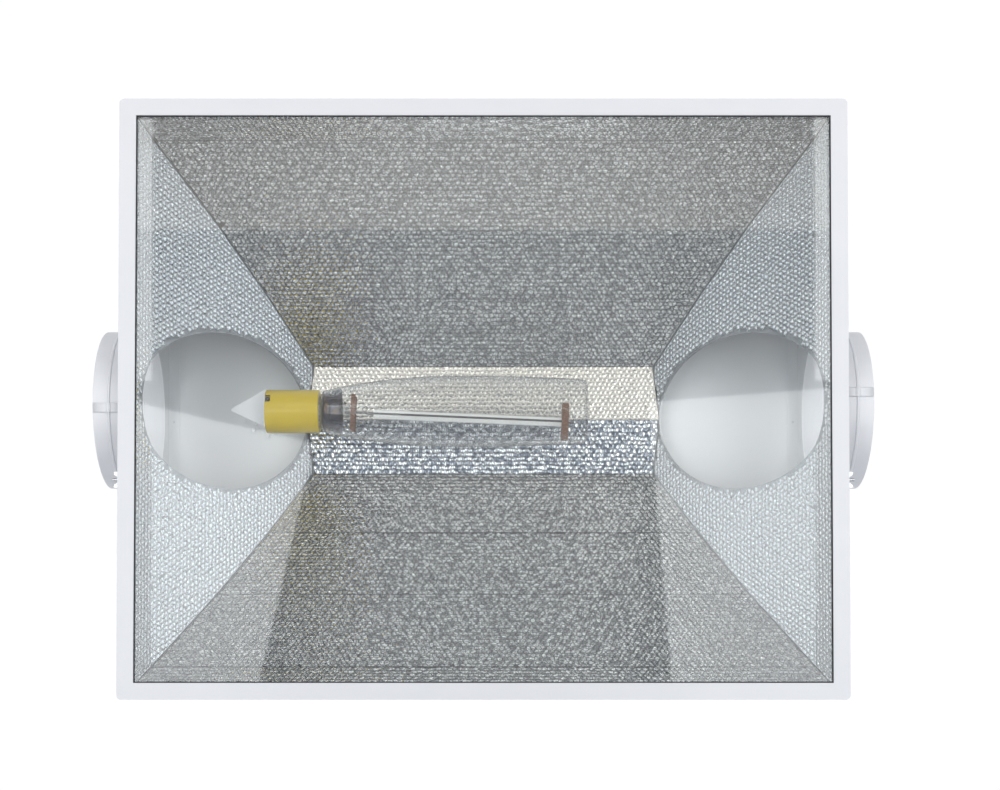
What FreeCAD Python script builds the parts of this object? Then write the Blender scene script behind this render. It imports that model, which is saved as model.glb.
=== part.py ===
"""Air-cooled grow lamp hood: hinged glass door, hammered reflector, screw lampholder and discharge lamp.

Millimetres. The origin is the centre of the door frame's lower face. +Z is up, towards the roof and the
ceiling it hangs from. X runs along the lamp, with the lampholder at -X. The door is hinged on the -Y side.
"""
import FreeCAD, Part
import math
import os

os.makedirs("parts", exist_ok=True)
V = FreeCAD.Vector
X_AXIS = V(1, 0, 0)
Y_AXIS = V(0, 1, 0)
Z_AXIS = V(0, 0, 1)

# ---- Driving dimensions: door ----
FRAME_LENGTH = 872.0
FRAME_WIDTH = 719.0
FRAME_FACE = 20.0          # width of the flat face around the glass
FRAME_HEIGHT = 16.0
FRAME_CORNER = 6.0
DOOR_SHEET = 1.2
GLASS_THICKNESS = 4.0
GLASS_EDGE_GAP = 3.0
GASKET_THICKNESS = 1.6
GASKET_SHOW = 1.5          # how far the gasket stands inside the frame's opening
SEAL_WIDTH = 5.0
CLIP_WIDTH = 16.0
CLIP_REACH = 7.0
CLIP_SHEET = 1.0
CLIP_HEIGHT = 6.0
CLIP_RIVET_RISE = 3.4       # rivet's axis above the glass
CLIP_RIVET_RADIUS = 1.2
CLIP_RIVET_HEAD = 1.8

# ---- Driving dimensions: hood ----
DOOR_OVERHANG_X = 10.0     # the frame stands this far outside the hood's end walls
DOOR_OVERHANG_Y = 9.5
HOOD_SHEET = 1.2
HOOD_FOOT_Z = 13.0
BAND_TOP_Z = 100.0
SLOPE_RUN = 180.0          # how far the sloping sides come in, from the band to the roof
BEND_RADIUS = 3.0
END_FLANGE = 14.0
FLANGE_LIFT = 4.0          # the end flanges stop this far above the foot, clear of the reflector's lip

# ---- Driving dimensions: reflector ----
REFLECTOR_SHEET = 1.0
LIP_INSET = 4.3            # flat lip between the hood's wall and the foot of the skirt
SKIRT_TOP_Z = 43.0
SKIRT_RUN_X = 16.0
SKIRT_RUN_Y = 23.0
END_RUN = 175.0            # end panel, from the skirt's crease in to the spine
SIDE_BENDS = ((115.5, 88.0), (176.5, 81.0))   # height of each crease, and the run below it
SIDE_TOP_RUN = 80.0
SPINE_GAP = 21.0           # from the roof's outer face down to the reflector's top edge
RIDGE_SLOPE = 0.118        # fall of the spine's V towards its ridge
SPINE_SEAT = 4.0           # how far the spine rests over each side's upper edge

# ---- Driving dimensions: ducts ----
DUCT_RADIUS = 99.0
DUCT_SHEET = 0.8
DUCT_FOOT_GAP = 15.0       # from the hood's foot up to the duct
DUCT_ROOF_GAP = 27.0       # from the duct up to the roof
COLLAR_LENGTH = 47.0
COLLAR_FLANGE = 13.0
COLLAR_FLANGE_SHEET = 1.0
BEAD_OFFSET = 25.5         # from the end wall to the bead's near edge
BEAD_WIDTH = 4.0
BEAD_HEIGHT = 1.8
COLLAR_RIVETS = 6

# ---- Driving dimensions: lampholder and lamp ----
LAMP_RISE = 8.0            # the lamp's axis above the duct's axis
HOLDER_SETBACK = 149.4     # from the end wall's outer face to the back of the lampholder
HOLDER_LENGTH = 67.8
HOLDER_RADIUS = 27.5
BASE_RADIUS = 19.5
BASE_LENGTH = 39.0
BASE_NOSE = 8.0            # insulator and centre contact, beyond the threaded shell
THREAD_CLEARANCE = 0.08
CONTACT_GAP = 0.3
SHELL_SHEET = 0.8
HOLDER_EDGE = 1.2
NOTCH_LENGTH = 7.0         # cut-out in the holder's back edge, over the terminal
NOTCH_SIDES = (-18.5, -9.5)
NOTCH_DEPTH = 12.5
MOUTH_NOTCH = 5.0
MOUTH_NOTCH_INSET = 7.0
CONTACT_DEPTH = 8.0
HOLDER_SCREW_Y = 12.0
HOLDER_SCREW_RISE = 12.0
HOLDER_SCREW_RADIUS = 2.0
LAMP_REACH = 341.0         # from the lampholder's mouth to the far end of the glass
BULB_RADIUS = 45.5
NECK_RADIUS = 25.0
BULB_END_RADIUS = 40.5
GLASS_WALL = 1.2
BRACKET_FOOT_ANGLE = 20.0
BRACKET_FOOT_SCREWS = ((-33.6, 10.8), (-15.1, 18.8), (-30.0, 2.2))   # X from the holder's back, and Y
FRAME_TILT = 2.4           # degrees that the lamp's inner frame leans to one side
ARC_TUBE_RADIUS = 5.6
ARC_TUBE_LENGTH = 246.0
SUPPORT_ROD_RADIUS = 1.3
PLATE_SPAN = 46.0
PLATE_HEIGHT = 14.0

# ---- Driving dimensions: door lock and hinges ----
LOCK_Y = 96.0
LOCK_Z = 26.0
STUD_RADIUS = 2.0
STUD_SHOULDER = 4.0
STUD_END = 11.5            # from the door frame's outer face to the stud's tip
TAB_WIDTH = 22.0
TAB_HEIGHT = 34.0
SLOT_CLEARANCE = 0.5
BODY_GAP = 0.3             # between faces of parts that move apart
NUT_CLEARANCE = 0.05
NUT_HUB_RADIUS = 4.0
NUT_HUB_LENGTH = 4.6
WING_SPAN = 20.0
WING_REACH = 10.0
WING_THICKNESS = 2.2
HINGE_X = 250.0
HINGE_WIDTH = 60.0
HINGE_SHEET = 1.4
KNUCKLE_RADIUS = 3.7
KNUCKLE_GAP = 0.4
HINGE_AXIS_Z = 22.0
PIN_RADIUS = 1.6
PIN_CLEARANCE = 0.06
LEAF_START = 5.0           # the leaves begin this far from the hinge's axis

# ---- Driving dimensions: roof fittings ----
HANGER_X = 300.0
HANGER_INSET_Y = 50.0
HANGER_LENGTH = 34.0
HANGER_FOOT = 22.0
HANGER_SHEET = 2.0
HANGER_HEIGHT = 20.0
HANGER_HOLE_RADIUS = 4.0
RIVET_RADIUS = 1.6
RIVET_HEAD_RADIUS = 3.2
RIVET_HEAD_HEIGHT = 1.1
GLAND_X = -200.0
GLAND_INSET_Y = 60.0       # from the roof's long edge
GLAND_RADIUS = 11.0
GLAND_THREAD_RADIUS = 8.0
GLAND_BORE_RADIUS = 4.5
GLAND_HEIGHT = 18.0

# ---- Places worked out from the driving dimensions ----
frame_half_x = FRAME_LENGTH / 2
frame_half_y = FRAME_WIDTH / 2
opening_half_x = frame_half_x - FRAME_FACE
opening_half_y = frame_half_y - FRAME_FACE
hood_half_x = frame_half_x - DOOR_OVERHANG_X
hood_half_y = frame_half_y - DOOR_OVERHANG_Y
wall_half_x = hood_half_x - HOOD_SHEET
wall_half_y = hood_half_y - HOOD_SHEET
roof_half_y = hood_half_y - SLOPE_RUN
duct_axis_z = HOOD_FOOT_Z + DUCT_FOOT_GAP + DUCT_RADIUS
roof_z = duct_axis_z + DUCT_RADIUS + DUCT_ROOF_GAP
roof_inside_z = roof_z - HOOD_SHEET
gland_y = -(roof_half_y - GLAND_INSET_Y)
glass_bottom_z = DOOR_SHEET + GASKET_THICKNESS
glass_top_z = glass_bottom_z + GLASS_THICKNESS
spine_z = roof_z - SPINE_GAP
skirt_foot_x = wall_half_x - LIP_INSET
skirt_foot_y = wall_half_y - LIP_INSET
crease_x = skirt_foot_x - SKIRT_RUN_X
crease_y = skirt_foot_y - SKIRT_RUN_Y
end_slope = END_RUN / (spine_z - SKIRT_TOP_Z)
lamp_z = duct_axis_z + LAMP_RISE
holder_back_x = -hood_half_x + HOLDER_SETBACK
holder_mouth_x = holder_back_x + HOLDER_LENGTH
hinge_axis_y = -(hood_half_y + frame_half_y - DOOR_SHEET) / 2
leaf_offset = (frame_half_y - DOOR_SHEET - hood_half_y) / 2


# ---- Shape helpers ----
def box(x0, y0, z0, x1, y1, z1):
    """Axis-aligned block between two corners."""
    return Part.makeBox(x1 - x0, y1 - y0, z1 - z0, V(x0, y0, z0))


def cylinder(start, direction, radius, length):
    return Part.makeCylinder(radius, length, start, direction)


def prism(points, sweep):
    """Solid swept from a flat outline given as vectors."""
    return Part.Face(Part.makePolygon(points + [points[0]])).extrude(sweep)


def prism_x(points_yz, x0, x1):
    return prism([V(x0, y, z) for y, z in points_yz], V(x1 - x0, 0, 0))


def prism_y(points_xz, y0, y1):
    return prism([V(x, y0, z) for x, z in points_xz], V(0, y1 - y0, 0))


def prism_z(points_xy, z0, z1):
    return prism([V(x, y, z0) for x, y in points_xy], V(0, 0, z1 - z0))


def turned_x(profile, y=0.0, z=0.0):
    """Solid of revolution about an axis along X. The profile is (x, radius) points."""
    points = [V(x, y, z + r) for x, r in profile]
    face = Part.Face(Part.makePolygon(points + [points[0]]))
    return face.revolve(V(0, y, z), X_AXIS, 360)


def offset_outline(points, distance):
    """Open outline moved to its left by a distance, with mitred corners."""
    normals = []
    for (a0, b0), (a1, b1) in zip(points, points[1:]):
        length = math.hypot(a1 - a0, b1 - b0)
        normals.append((-(b1 - b0) / length, (a1 - a0) / length))
    moved = []
    for i, (a, b) in enumerate(points):
        before = normals[max(i - 1, 0)]
        after = normals[min(i, len(normals) - 1)]
        total = (before[0] + after[0], before[1] + after[1])
        scale = 2 * distance / (total[0] ** 2 + total[1] ** 2)
        moved.append((a + total[0] * scale, b + total[1] * scale))
    return moved


def sheet_outline(points, thickness):
    """Closed outline of a folded sheet whose inner face follows the points."""
    return points + offset_outline(points, thickness)[::-1]


def ring(outer_x, outer_y, inner_x, inner_y, z0, z1):
    """Rectangular ring given by its half sizes."""
    outer = box(-outer_x, -outer_y, z0, outer_x, outer_y, z1)
    return outer.cut(box(-inner_x, -inner_y, z0 - 1, inner_x, inner_y, z1 + 1))


def round_upright_corners(solid, radius, half_x, half_y):
    """Fillets the vertical edges that stand at the corners of a rectangle."""
    edges = []
    for edge in solid.Edges:
        middle = edge.CenterOfMass
        direction = edge.Vertexes[-1].Point - edge.Vertexes[0].Point
        upright = abs(direction.x) < 1e-6 and abs(direction.y) < 1e-6
        if upright and abs(abs(middle.x) - half_x) < 1e-3 and abs(abs(middle.y) - half_y) < 1e-3:
            edges.append(edge)
    return solid.makeFillet(radius, edges)


def mirrored(shape):
    """The same piece at the other end of the lamp."""
    return shape.mirror(V(0, 0, 0), X_AXIS)


def turned_over(shape):
    """The same piece on the other long side."""
    return shape.mirror(V(0, 0, 0), Y_AXIS)


def rivet(point, outward, grip, radius=RIVET_RADIUS, head_radius=RIVET_HEAD_RADIUS, head=RIVET_HEAD_HEIGHT):
    """Dome-headed fastener. The head stands on the point, and the shank goes inwards through the grip."""
    shank = cylinder(point - outward * grip, outward, radius, grip)
    dome = cylinder(point, outward, head_radius, head)
    rim = [edge for edge in dome.Edges if (edge.CenterOfMass - point).dot(outward) > head * 0.9]
    dome = dome.makeFillet(head * 0.7, rim)
    return shank.fuse(dome)


def shank_hole(point, outward, grip, radius=RIVET_RADIUS):
    """The hole that a rivet's shank passes through."""
    return cylinder(point - outward * (grip + 1), outward, radius, grip + 2)


def export(name, shape):
    shape.exportStep("parts/" + name + ".step")


# ---- Rivet positions that two or more pieces share ----
def end_wall_rivet_places():
    """Place and outward direction of each rivet along one end flange, at +X."""
    x = wall_half_x - END_FLANGE / 2
    slope = V(0, roof_z - BAND_TOP_Z, SLOPE_RUN)
    slope.normalize()
    places = []
    for y in (-roof_half_y * 0.65, 0.0, roof_half_y * 0.65):
        places.append((V(x, y, roof_z), Z_AXIS))
    for side in (-1, 1):
        middle_y = side * (hood_half_y + roof_half_y) / 2
        middle_z = (BAND_TOP_Z + roof_z) / 2
        places.append((V(x, middle_y, middle_z), V(0, side * slope.y, slope.z)))
        places.append((V(x, side * hood_half_y, (HOOD_FOOT_Z + BAND_TOP_Z) / 2), V(0, side, 0)))
    return places


def both_ends(places):
    """The places at +X and their mirror images at -X."""
    return places + [(V(-p.x, p.y, p.z), V(-d.x, d.y, d.z)) for p, d in places]


def collar_rivet_places():
    places = []
    circle = DUCT_RADIUS + COLLAR_FLANGE / 2
    for i in range(COLLAR_RIVETS):
        angle = math.radians(360.0 / COLLAR_RIVETS * (i + 0.5))
        y = circle * math.cos(angle)
        z = duct_axis_z + circle * math.sin(angle)
        places.append((V(hood_half_x + COLLAR_FLANGE_SHEET, y, z), X_AXIS))
    return places


def hanger_rivet_places():
    places = []
    for sx in (-1, 1):
        for sy in (-1, 1):
            y = sy * (roof_half_y - HANGER_INSET_Y - HANGER_FOOT / 2 - HANGER_SHEET / 2)
            for dx in (-HANGER_LENGTH / 4, HANGER_LENGTH / 4):
                places.append((V(sx * HANGER_X + dx, y, roof_z + HANGER_SHEET), Z_AXIS))
    return places


end_grip = 2 * HOOD_SHEET
collar_grip = COLLAR_FLANGE_SHEET + HOOD_SHEET
hanger_grip = HANGER_SHEET + HOOD_SHEET


# ---- Hood ----
def hood_outline():
    return [(-hood_half_y, HOOD_FOOT_Z), (-hood_half_y, BAND_TOP_Z), (-roof_half_y, roof_z),
            (roof_half_y, roof_z), (hood_half_y, BAND_TOP_Z), (hood_half_y, HOOD_FOOT_Z)]


def bend_long_edges(solid, radius):
    """Rounds the folds that run along X."""
    folds = []
    for edge in solid.Edges:
        start, end = edge.Vertexes[0].Point, edge.Vertexes[-1].Point
        along_x = abs(start.y - end.y) < 1e-6 and abs(start.z - end.z) < 1e-6
        if along_x and start.z > HOOD_FOOT_Z + 1:
            folds.append(edge)
    return solid.makeFillet(radius, folds)


def make_hood_shell():
    outer = prism_x(hood_outline(), -wall_half_x, wall_half_x)
    outer = bend_long_edges(outer, BEND_RADIUS)
    inner = prism_x(offset_outline(hood_outline(), -HOOD_SHEET), -wall_half_x - 1, wall_half_x + 1)
    inner = bend_long_edges(inner, BEND_RADIUS - HOOD_SHEET)
    below = box(-wall_half_x - 2, -hood_half_y, HOOD_FOOT_Z - 5, wall_half_x + 2, hood_half_y, HOOD_FOOT_Z)
    shell = outer.cut(inner).cut(below)
    for place, outward in both_ends(end_wall_rivet_places()):
        shell = shell.cut(shank_hole(place, outward, end_grip))
    for place, outward in hanger_rivet_places():
        shell = shell.cut(shank_hole(place, outward, hanger_grip))
    gland_hole = cylinder(V(GLAND_X, gland_y, roof_z - 10), Z_AXIS, GLAND_THREAD_RADIUS, 20)
    return shell.cut(gland_hole)


def make_end_wall():
    """End wall at +X with a flange folded inwards along the shell."""
    plate = prism_x(hood_outline(), wall_half_x, hood_half_x)
    plate = bend_long_edges(plate, BEND_RADIUS)
    flange_outer = prism_x(offset_outline(hood_outline(), -HOOD_SHEET), wall_half_x - END_FLANGE, wall_half_x)
    flange_outer = bend_long_edges(flange_outer, BEND_RADIUS - HOOD_SHEET)
    flange_inner = prism_x(offset_outline(hood_outline(), -2 * HOOD_SHEET),
                           wall_half_x - END_FLANGE - 1, wall_half_x)
    wall = plate.fuse(flange_outer.cut(flange_inner)).removeSplitter()
    wall = wall.cut(box(wall_half_x - END_FLANGE - 1, -hood_half_y, 0, wall_half_x, hood_half_y,
                        HOOD_FOOT_Z + FLANGE_LIFT))
    hole = cylinder(V(wall_half_x - 1, 0, duct_axis_z), X_AXIS, DUCT_RADIUS - DUCT_SHEET, HOOD_SHEET + 2)
    stud_hole = cylinder(V(wall_half_x - 1, LOCK_Y, LOCK_Z), X_AXIS, STUD_RADIUS, HOOD_SHEET + 2)
    wall = wall.cut(hole).cut(stud_hole)
    for place, outward in end_wall_rivet_places():
        wall = wall.cut(shank_hole(place, outward, end_grip))
    for place, outward in collar_rivet_places():
        wall = wall.cut(shank_hole(place, outward, collar_grip))
    return wall


def make_collar():
    """Spun duct collar at +X: flange on the end wall, tube, and a rolled bead that stops the duct."""
    outer, inner = DUCT_RADIUS, DUCT_RADIUS - DUCT_SHEET
    start = hood_half_x
    flange = start + COLLAR_FLANGE_SHEET
    bead = start + BEAD_OFFSET
    rim = start + COLLAR_LENGTH
    quarter = BEAD_WIDTH / 4
    profile = [(start, inner), (start, outer + COLLAR_FLANGE), (flange, outer + COLLAR_FLANGE), (flange, outer),
               (bead, outer), (bead + quarter, outer + BEAD_HEIGHT),
               (bead + 3 * quarter, outer + BEAD_HEIGHT), (bead + 4 * quarter, outer), (rim, outer), (rim, inner),
               (bead + 4 * quarter, inner), (bead + 3 * quarter, inner + BEAD_HEIGHT),
               (bead + quarter, inner + BEAD_HEIGHT), (bead, inner)]
    collar = turned_x(profile, 0.0, duct_axis_z)
    for place, outward in collar_rivet_places():
        collar = collar.cut(shank_hole(place, outward, collar_grip))
    return collar


def make_hanger(sx, sy):
    """Bent bracket on the roof: a riveted foot and an upright ear with one hole."""
    x0, x1 = sx * HANGER_X - HANGER_LENGTH / 2, sx * HANGER_X + HANGER_LENGTH / 2
    ear = roof_half_y - HANGER_INSET_Y
    foot = box(x0, ear - HANGER_FOOT - HANGER_SHEET, roof_z, x1, ear, roof_z + HANGER_SHEET)
    upright = box(x0, ear - HANGER_SHEET, roof_z, x1, ear, roof_z + HANGER_HEIGHT)
    if sy < 0:
        foot, upright = turned_over(foot), turned_over(upright)
    hole_z = roof_z + HANGER_HEIGHT - 1.8 * HANGER_HOLE_RADIUS
    hole = cylinder(V(sx * HANGER_X, -hood_half_y, hole_z), Y_AXIS, HANGER_HOLE_RADIUS, 2 * hood_half_y)
    hanger = foot.fuse(upright).removeSplitter().cut(hole)
    for place, outward in hanger_rivet_places():
        hanger = hanger.cut(shank_hole(place, outward, HANGER_SHEET))
    return hanger


def make_gland():
    """Cable gland: a hexagon and a domed cap above the roof, with its thread through the sheet."""
    centre = V(GLAND_X, gland_y, 0)
    hexagon_points = []
    for i in range(6):
        angle = math.radians(60 * i)
        hexagon_points.append((GLAND_X + GLAND_RADIUS * math.cos(angle),
                               gland_y + GLAND_RADIUS * math.sin(angle)))
    hexagon = prism_z(hexagon_points, roof_z, roof_z + GLAND_HEIGHT * 0.35)
    cap_radius = GLAND_RADIUS * math.cos(math.radians(30)) - 0.5
    cap = cylinder(centre + V(0, 0, roof_z + GLAND_HEIGHT * 0.35), Z_AXIS, cap_radius, GLAND_HEIGHT * 0.65)
    top = [edge for edge in cap.Edges if edge.CenterOfMass.z > roof_z + GLAND_HEIGHT * 0.95]
    cap = cap.makeFillet(2.5, top)
    thread = cylinder(centre + V(0, 0, roof_z - 9), Z_AXIS, GLAND_THREAD_RADIUS, 9)
    bore = cylinder(centre + V(0, 0, roof_z - 20), Z_AXIS, GLAND_BORE_RADIUS, 60)
    return hexagon.fuse([cap, thread]).removeSplitter().cut(bore)


def make_gland_nut():
    points = []
    for i in range(6):
        angle = math.radians(60 * i)
        points.append((GLAND_X + GLAND_RADIUS * math.cos(angle), gland_y + GLAND_RADIUS * math.sin(angle)))
    nut = prism_z(points, roof_inside_z - 4, roof_inside_z)
    return nut.cut(cylinder(V(GLAND_X, gland_y, roof_inside_z - 10), Z_AXIS, GLAND_THREAD_RADIUS, 20))


# ---- Reflector ----
def side_profile():
    """(y, z) creases of the +Y side's inner face, from the lip to the spine."""
    points = [(wall_half_y, HOOD_FOOT_Z), (skirt_foot_y, HOOD_FOOT_Z), (crease_y, SKIRT_TOP_Z)]
    y = crease_y
    for height, run in SIDE_BENDS:
        y -= run
        points.append((y, height))
    points.append((y - SIDE_TOP_RUN, spine_z))
    return points


def end_profile():
    """(x, z) creases of the +X end's inner face."""
    return [(wall_half_x, HOOD_FOOT_Z), (skirt_foot_x, HOOD_FOOT_Z), (crease_x, SKIRT_TOP_Z),
            (crease_x - END_RUN, spine_z)]


def end_x_at(z):
    return crease_x - (z - SKIRT_TOP_Z) * end_slope


spine_half_y = side_profile()[-1][0]


def make_reflector_side():
    """Folded long side at +Y, mitred to the end panels' inner faces."""
    sheet = prism_x(sheet_outline(side_profile(), -REFLECTOR_SHEET), -wall_half_x, wall_half_x)
    top_z = spine_z + 2 * REFLECTOR_SHEET
    right = [(skirt_foot_x, HOOD_FOOT_Z - 1), (skirt_foot_x, HOOD_FOOT_Z), (crease_x, SKIRT_TOP_Z),
             (end_x_at(top_z), top_z)]
    left = [(-x, z) for x, z in reversed(right)]
    return sheet.common(prism_y(right + left, 0, hood_half_y))


def make_reflector_end():
    """Folded end panel at +X, outside the sides' cut edges, with the duct's cut-out."""
    sheet = prism_y(sheet_outline(end_profile(), -REFLECTOR_SHEET), -wall_half_y, wall_half_y)
    outside = offset_outline(side_profile(), -REFLECTOR_SHEET)
    top = (outside[-1][0], spine_z + 2 * REFLECTOR_SHEET)
    front = [(wall_half_y, HOOD_FOOT_Z - 1), (wall_half_y, outside[0][1])] + outside[1:] + [top]
    rear = [(-y, z) for y, z in reversed(front)]
    cover = prism_x(front + rear, 0, hood_half_x)
    cut_out = cylinder(V(0, 0, duct_axis_z), X_AXIS, DUCT_RADIUS, hood_half_x)
    return sheet.common(cover).cut(cut_out)


def make_reflector_spine():
    """Shallow V strip along the top, sitting on the upper edges of the two long sides."""
    seat = spine_z + REFLECTOR_SHEET * 1.5
    flat = spine_half_y + SPINE_SEAT
    ridge_z = seat - flat * RIDGE_SLOPE
    points = [(-flat, seat), (0, ridge_z), (flat, seat)]
    outline = sheet_outline(points, REFLECTOR_SHEET)
    half_length = end_x_at(ridge_z - REFLECTOR_SHEET)
    strip = prism_x(outline, -half_length, half_length)
    for end in (-1, 1):
        end_plane = [(end * end_x_at(z), z) for z in (ridge_z - 5, seat + 5)]
        far_x = end * (half_length + 30)
        outside = end_plane + [(far_x, seat + 5), (far_x, ridge_z - 5)]
        strip = strip.cut(prism_y(outside, -flat - 5, flat + 5))
    return strip


# ---- Door ----
def clip_places():
    """Centre of each glass clip on the frame's inner wall, and the direction towards the glass."""
    half_x = frame_half_x - DOOR_SHEET
    half_y = frame_half_y - DOOR_SHEET
    places = []
    for x in (-0.75 * half_x, 0.0, 0.75 * half_x):
        places.append((V(x, half_y, glass_top_z), V(0, -1, 0)))
        places.append((V(x, -half_y, glass_top_z), V(0, 1, 0)))
    for y in (-0.6 * half_y, 0.6 * half_y):
        places.append((V(half_x, y, glass_top_z), V(-1, 0, 0)))
        places.append((V(-half_x, y, glass_top_z), V(1, 0, 0)))
    return places


def make_door_frame():
    base = box(-frame_half_x, -frame_half_y, 0, frame_half_x, frame_half_y, FRAME_HEIGHT)
    for sx in (-1, 1):
        base = base.fuse(box(min(sx * (frame_half_x - DOOR_SHEET), sx * frame_half_x), LOCK_Y - TAB_WIDTH / 2, 0,
                             max(sx * (frame_half_x - DOOR_SHEET), sx * frame_half_x), LOCK_Y + TAB_WIDTH / 2,
                             TAB_HEIGHT))
    base = round_upright_corners(base.removeSplitter(), FRAME_CORNER, frame_half_x, frame_half_y)
    inside_x = frame_half_x - DOOR_SHEET
    inside_y = frame_half_y - DOOR_SHEET
    hollow = box(-inside_x, -inside_y, DOOR_SHEET, inside_x, inside_y, TAB_HEIGHT + 5)
    hollow = round_upright_corners(hollow, FRAME_CORNER - DOOR_SHEET, inside_x, inside_y)
    opening = box(-opening_half_x, -opening_half_y, -1, opening_half_x, opening_half_y, DOOR_SHEET + 1)
    frame = base.cut(hollow).cut(opening)
    slot_half = STUD_RADIUS + SLOT_CLEARANCE
    slot = box(-frame_half_x - 1, LOCK_Y - slot_half, LOCK_Z,
               frame_half_x + 1, LOCK_Y + slot_half, TAB_HEIGHT + 1)
    slot_end = cylinder(V(-frame_half_x - 1, LOCK_Y, LOCK_Z), X_AXIS, slot_half, FRAME_LENGTH + 2)
    frame = frame.cut(slot).cut(slot_end)
    for place, inward in clip_places():
        centre = place + V(0, 0, CLIP_RIVET_RISE)
        frame = frame.cut(cylinder(centre - inward * 3, inward, CLIP_RIVET_RADIUS, 6))
    return frame


def make_glass():
    half_x = frame_half_x - DOOR_SHEET - GLASS_EDGE_GAP
    half_y = frame_half_y - DOOR_SHEET - GLASS_EDGE_GAP
    pane = box(-half_x, -half_y, glass_bottom_z, half_x, half_y, glass_top_z)
    return round_upright_corners(pane, 4.0, half_x, half_y)


def make_gasket():
    outer_x = frame_half_x - DOOR_SHEET - GLASS_EDGE_GAP
    outer_y = frame_half_y - DOOR_SHEET - GLASS_EDGE_GAP
    inner_x = opening_half_x - GASKET_SHOW
    inner_y = opening_half_y - GASKET_SHOW
    return ring(outer_x, outer_y, inner_x, inner_y, DOOR_SHEET, glass_bottom_z)


def make_door_seal():
    """Foam strip on the glass that meets the hood's foot when the door is shut."""
    outer_x = hood_half_x + 0.5
    outer_y = hood_half_y + 0.5
    return ring(outer_x, outer_y, outer_x - SEAL_WIDTH, outer_y - SEAL_WIDTH, glass_top_z, HOOD_FOOT_Z - BODY_GAP)


def make_glass_clips():
    clips = []
    for place, inward in clip_places():
        along = inward.cross(Z_AXIS) * (CLIP_WIDTH / 2)
        upright = prism([place - along, place + along, place + along + inward * CLIP_SHEET,
                         place - along + inward * CLIP_SHEET], V(0, 0, CLIP_HEIGHT))
        foot = prism([place - along, place + along, place + along + inward * CLIP_REACH,
                      place - along + inward * CLIP_REACH], V(0, 0, CLIP_SHEET))
        hole = cylinder(place + V(0, 0, CLIP_RIVET_RISE) - inward * 3, inward, CLIP_RIVET_RADIUS, 8)
        clips.append(upright.fuse(foot).removeSplitter().cut(hole))
    return Part.makeCompound(clips)


def make_clip_rivets():
    rivets = []
    for place, inward in clip_places():
        point = place + V(0, 0, CLIP_RIVET_RISE) + inward * CLIP_SHEET
        rivets.append(rivet(point, inward, CLIP_SHEET + DOOR_SHEET, CLIP_RIVET_RADIUS, CLIP_RIVET_HEAD, 0.8))
    return Part.makeCompound(rivets)


# ---- Hinges ----
def knuckle_spans():
    """Five knuckles along one hinge, from its centre. Even ones belong to the hood's leaf."""
    pitch = HINGE_WIDTH / 5
    spans = []
    for i in range(5):
        start = -HINGE_WIDTH / 2 + i * pitch
        spans.append((start + KNUCKLE_GAP / 2, start + pitch - KNUCKLE_GAP / 2))
    return spans


def make_hinge_leaf(x, on_hood):
    """One leaf: a plate against the sheet it is fixed to, with a neck and a knuckle at every other place."""
    facing = 1 if on_hood else -1
    outer_y = hinge_axis_y + facing * leaf_offset
    inner_y = outer_y - facing * HINGE_SHEET
    low_y, high_y = min(outer_y, inner_y), max(outer_y, inner_y)
    if on_hood:
        plate_z = (HINGE_AXIS_Z + LEAF_START, HINGE_AXIS_Z + LEAF_START + 20)
        neck_z = (HINGE_AXIS_Z, HINGE_AXIS_Z + LEAF_START + 1)
    else:
        plate_z = (DOOR_SHEET, HINGE_AXIS_Z - LEAF_START)
        neck_z = (HINGE_AXIS_Z - LEAF_START - 1, HINGE_AXIS_Z)
    half = HINGE_WIDTH / 2 - KNUCKLE_GAP / 2
    leaf = box(x - half, low_y, plate_z[0], x + half, high_y, plate_z[1])
    bore_radius = PIN_RADIUS if on_hood else PIN_RADIUS + PIN_CLEARANCE
    for start, end in knuckle_spans()[0 if on_hood else 1::2]:
        neck = box(x + start, low_y, neck_z[0], x + end, high_y, neck_z[1])
        barrel = cylinder(V(x + start, hinge_axis_y, HINGE_AXIS_Z), X_AXIS, KNUCKLE_RADIUS, end - start)
        leaf = leaf.fuse([neck, barrel])
    bore = cylinder(V(x - HINGE_WIDTH, hinge_axis_y, HINGE_AXIS_Z), X_AXIS, bore_radius, 2 * HINGE_WIDTH)
    return leaf.removeSplitter().cut(bore)


def make_hinge_pin(x):
    span = HINGE_WIDTH + 4
    start = V(x - span / 2, hinge_axis_y, HINGE_AXIS_Z)
    pin = cylinder(start, X_AXIS, PIN_RADIUS, span)
    heads = [cylinder(start, X_AXIS, PIN_RADIUS + 0.9, 1.5),
             cylinder(start + V(span - 1.5, 0, 0), X_AXIS, PIN_RADIUS + 0.9, 1.5)]
    return pin.fuse(heads).removeSplitter()


# ---- Door lock ----
def make_lock_stud():
    """Shouldered stud at +X. The shoulder stops the door's tab, and the thread carries the wing nut."""
    shoulder_end = frame_half_x - DOOR_SHEET - BODY_GAP
    shoulder = cylinder(V(hood_half_x, LOCK_Y, LOCK_Z), X_AXIS, STUD_SHOULDER, shoulder_end - hood_half_x)
    thread_length = frame_half_x + STUD_END - wall_half_x + 3
    thread = cylinder(V(wall_half_x - 3, LOCK_Y, LOCK_Z), X_AXIS, STUD_RADIUS, thread_length)
    back = cylinder(V(wall_half_x - 2.4, LOCK_Y, LOCK_Z), X_AXIS, STUD_SHOULDER - 0.5, 2.4)
    return shoulder.fuse([thread, back]).removeSplitter()


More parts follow.
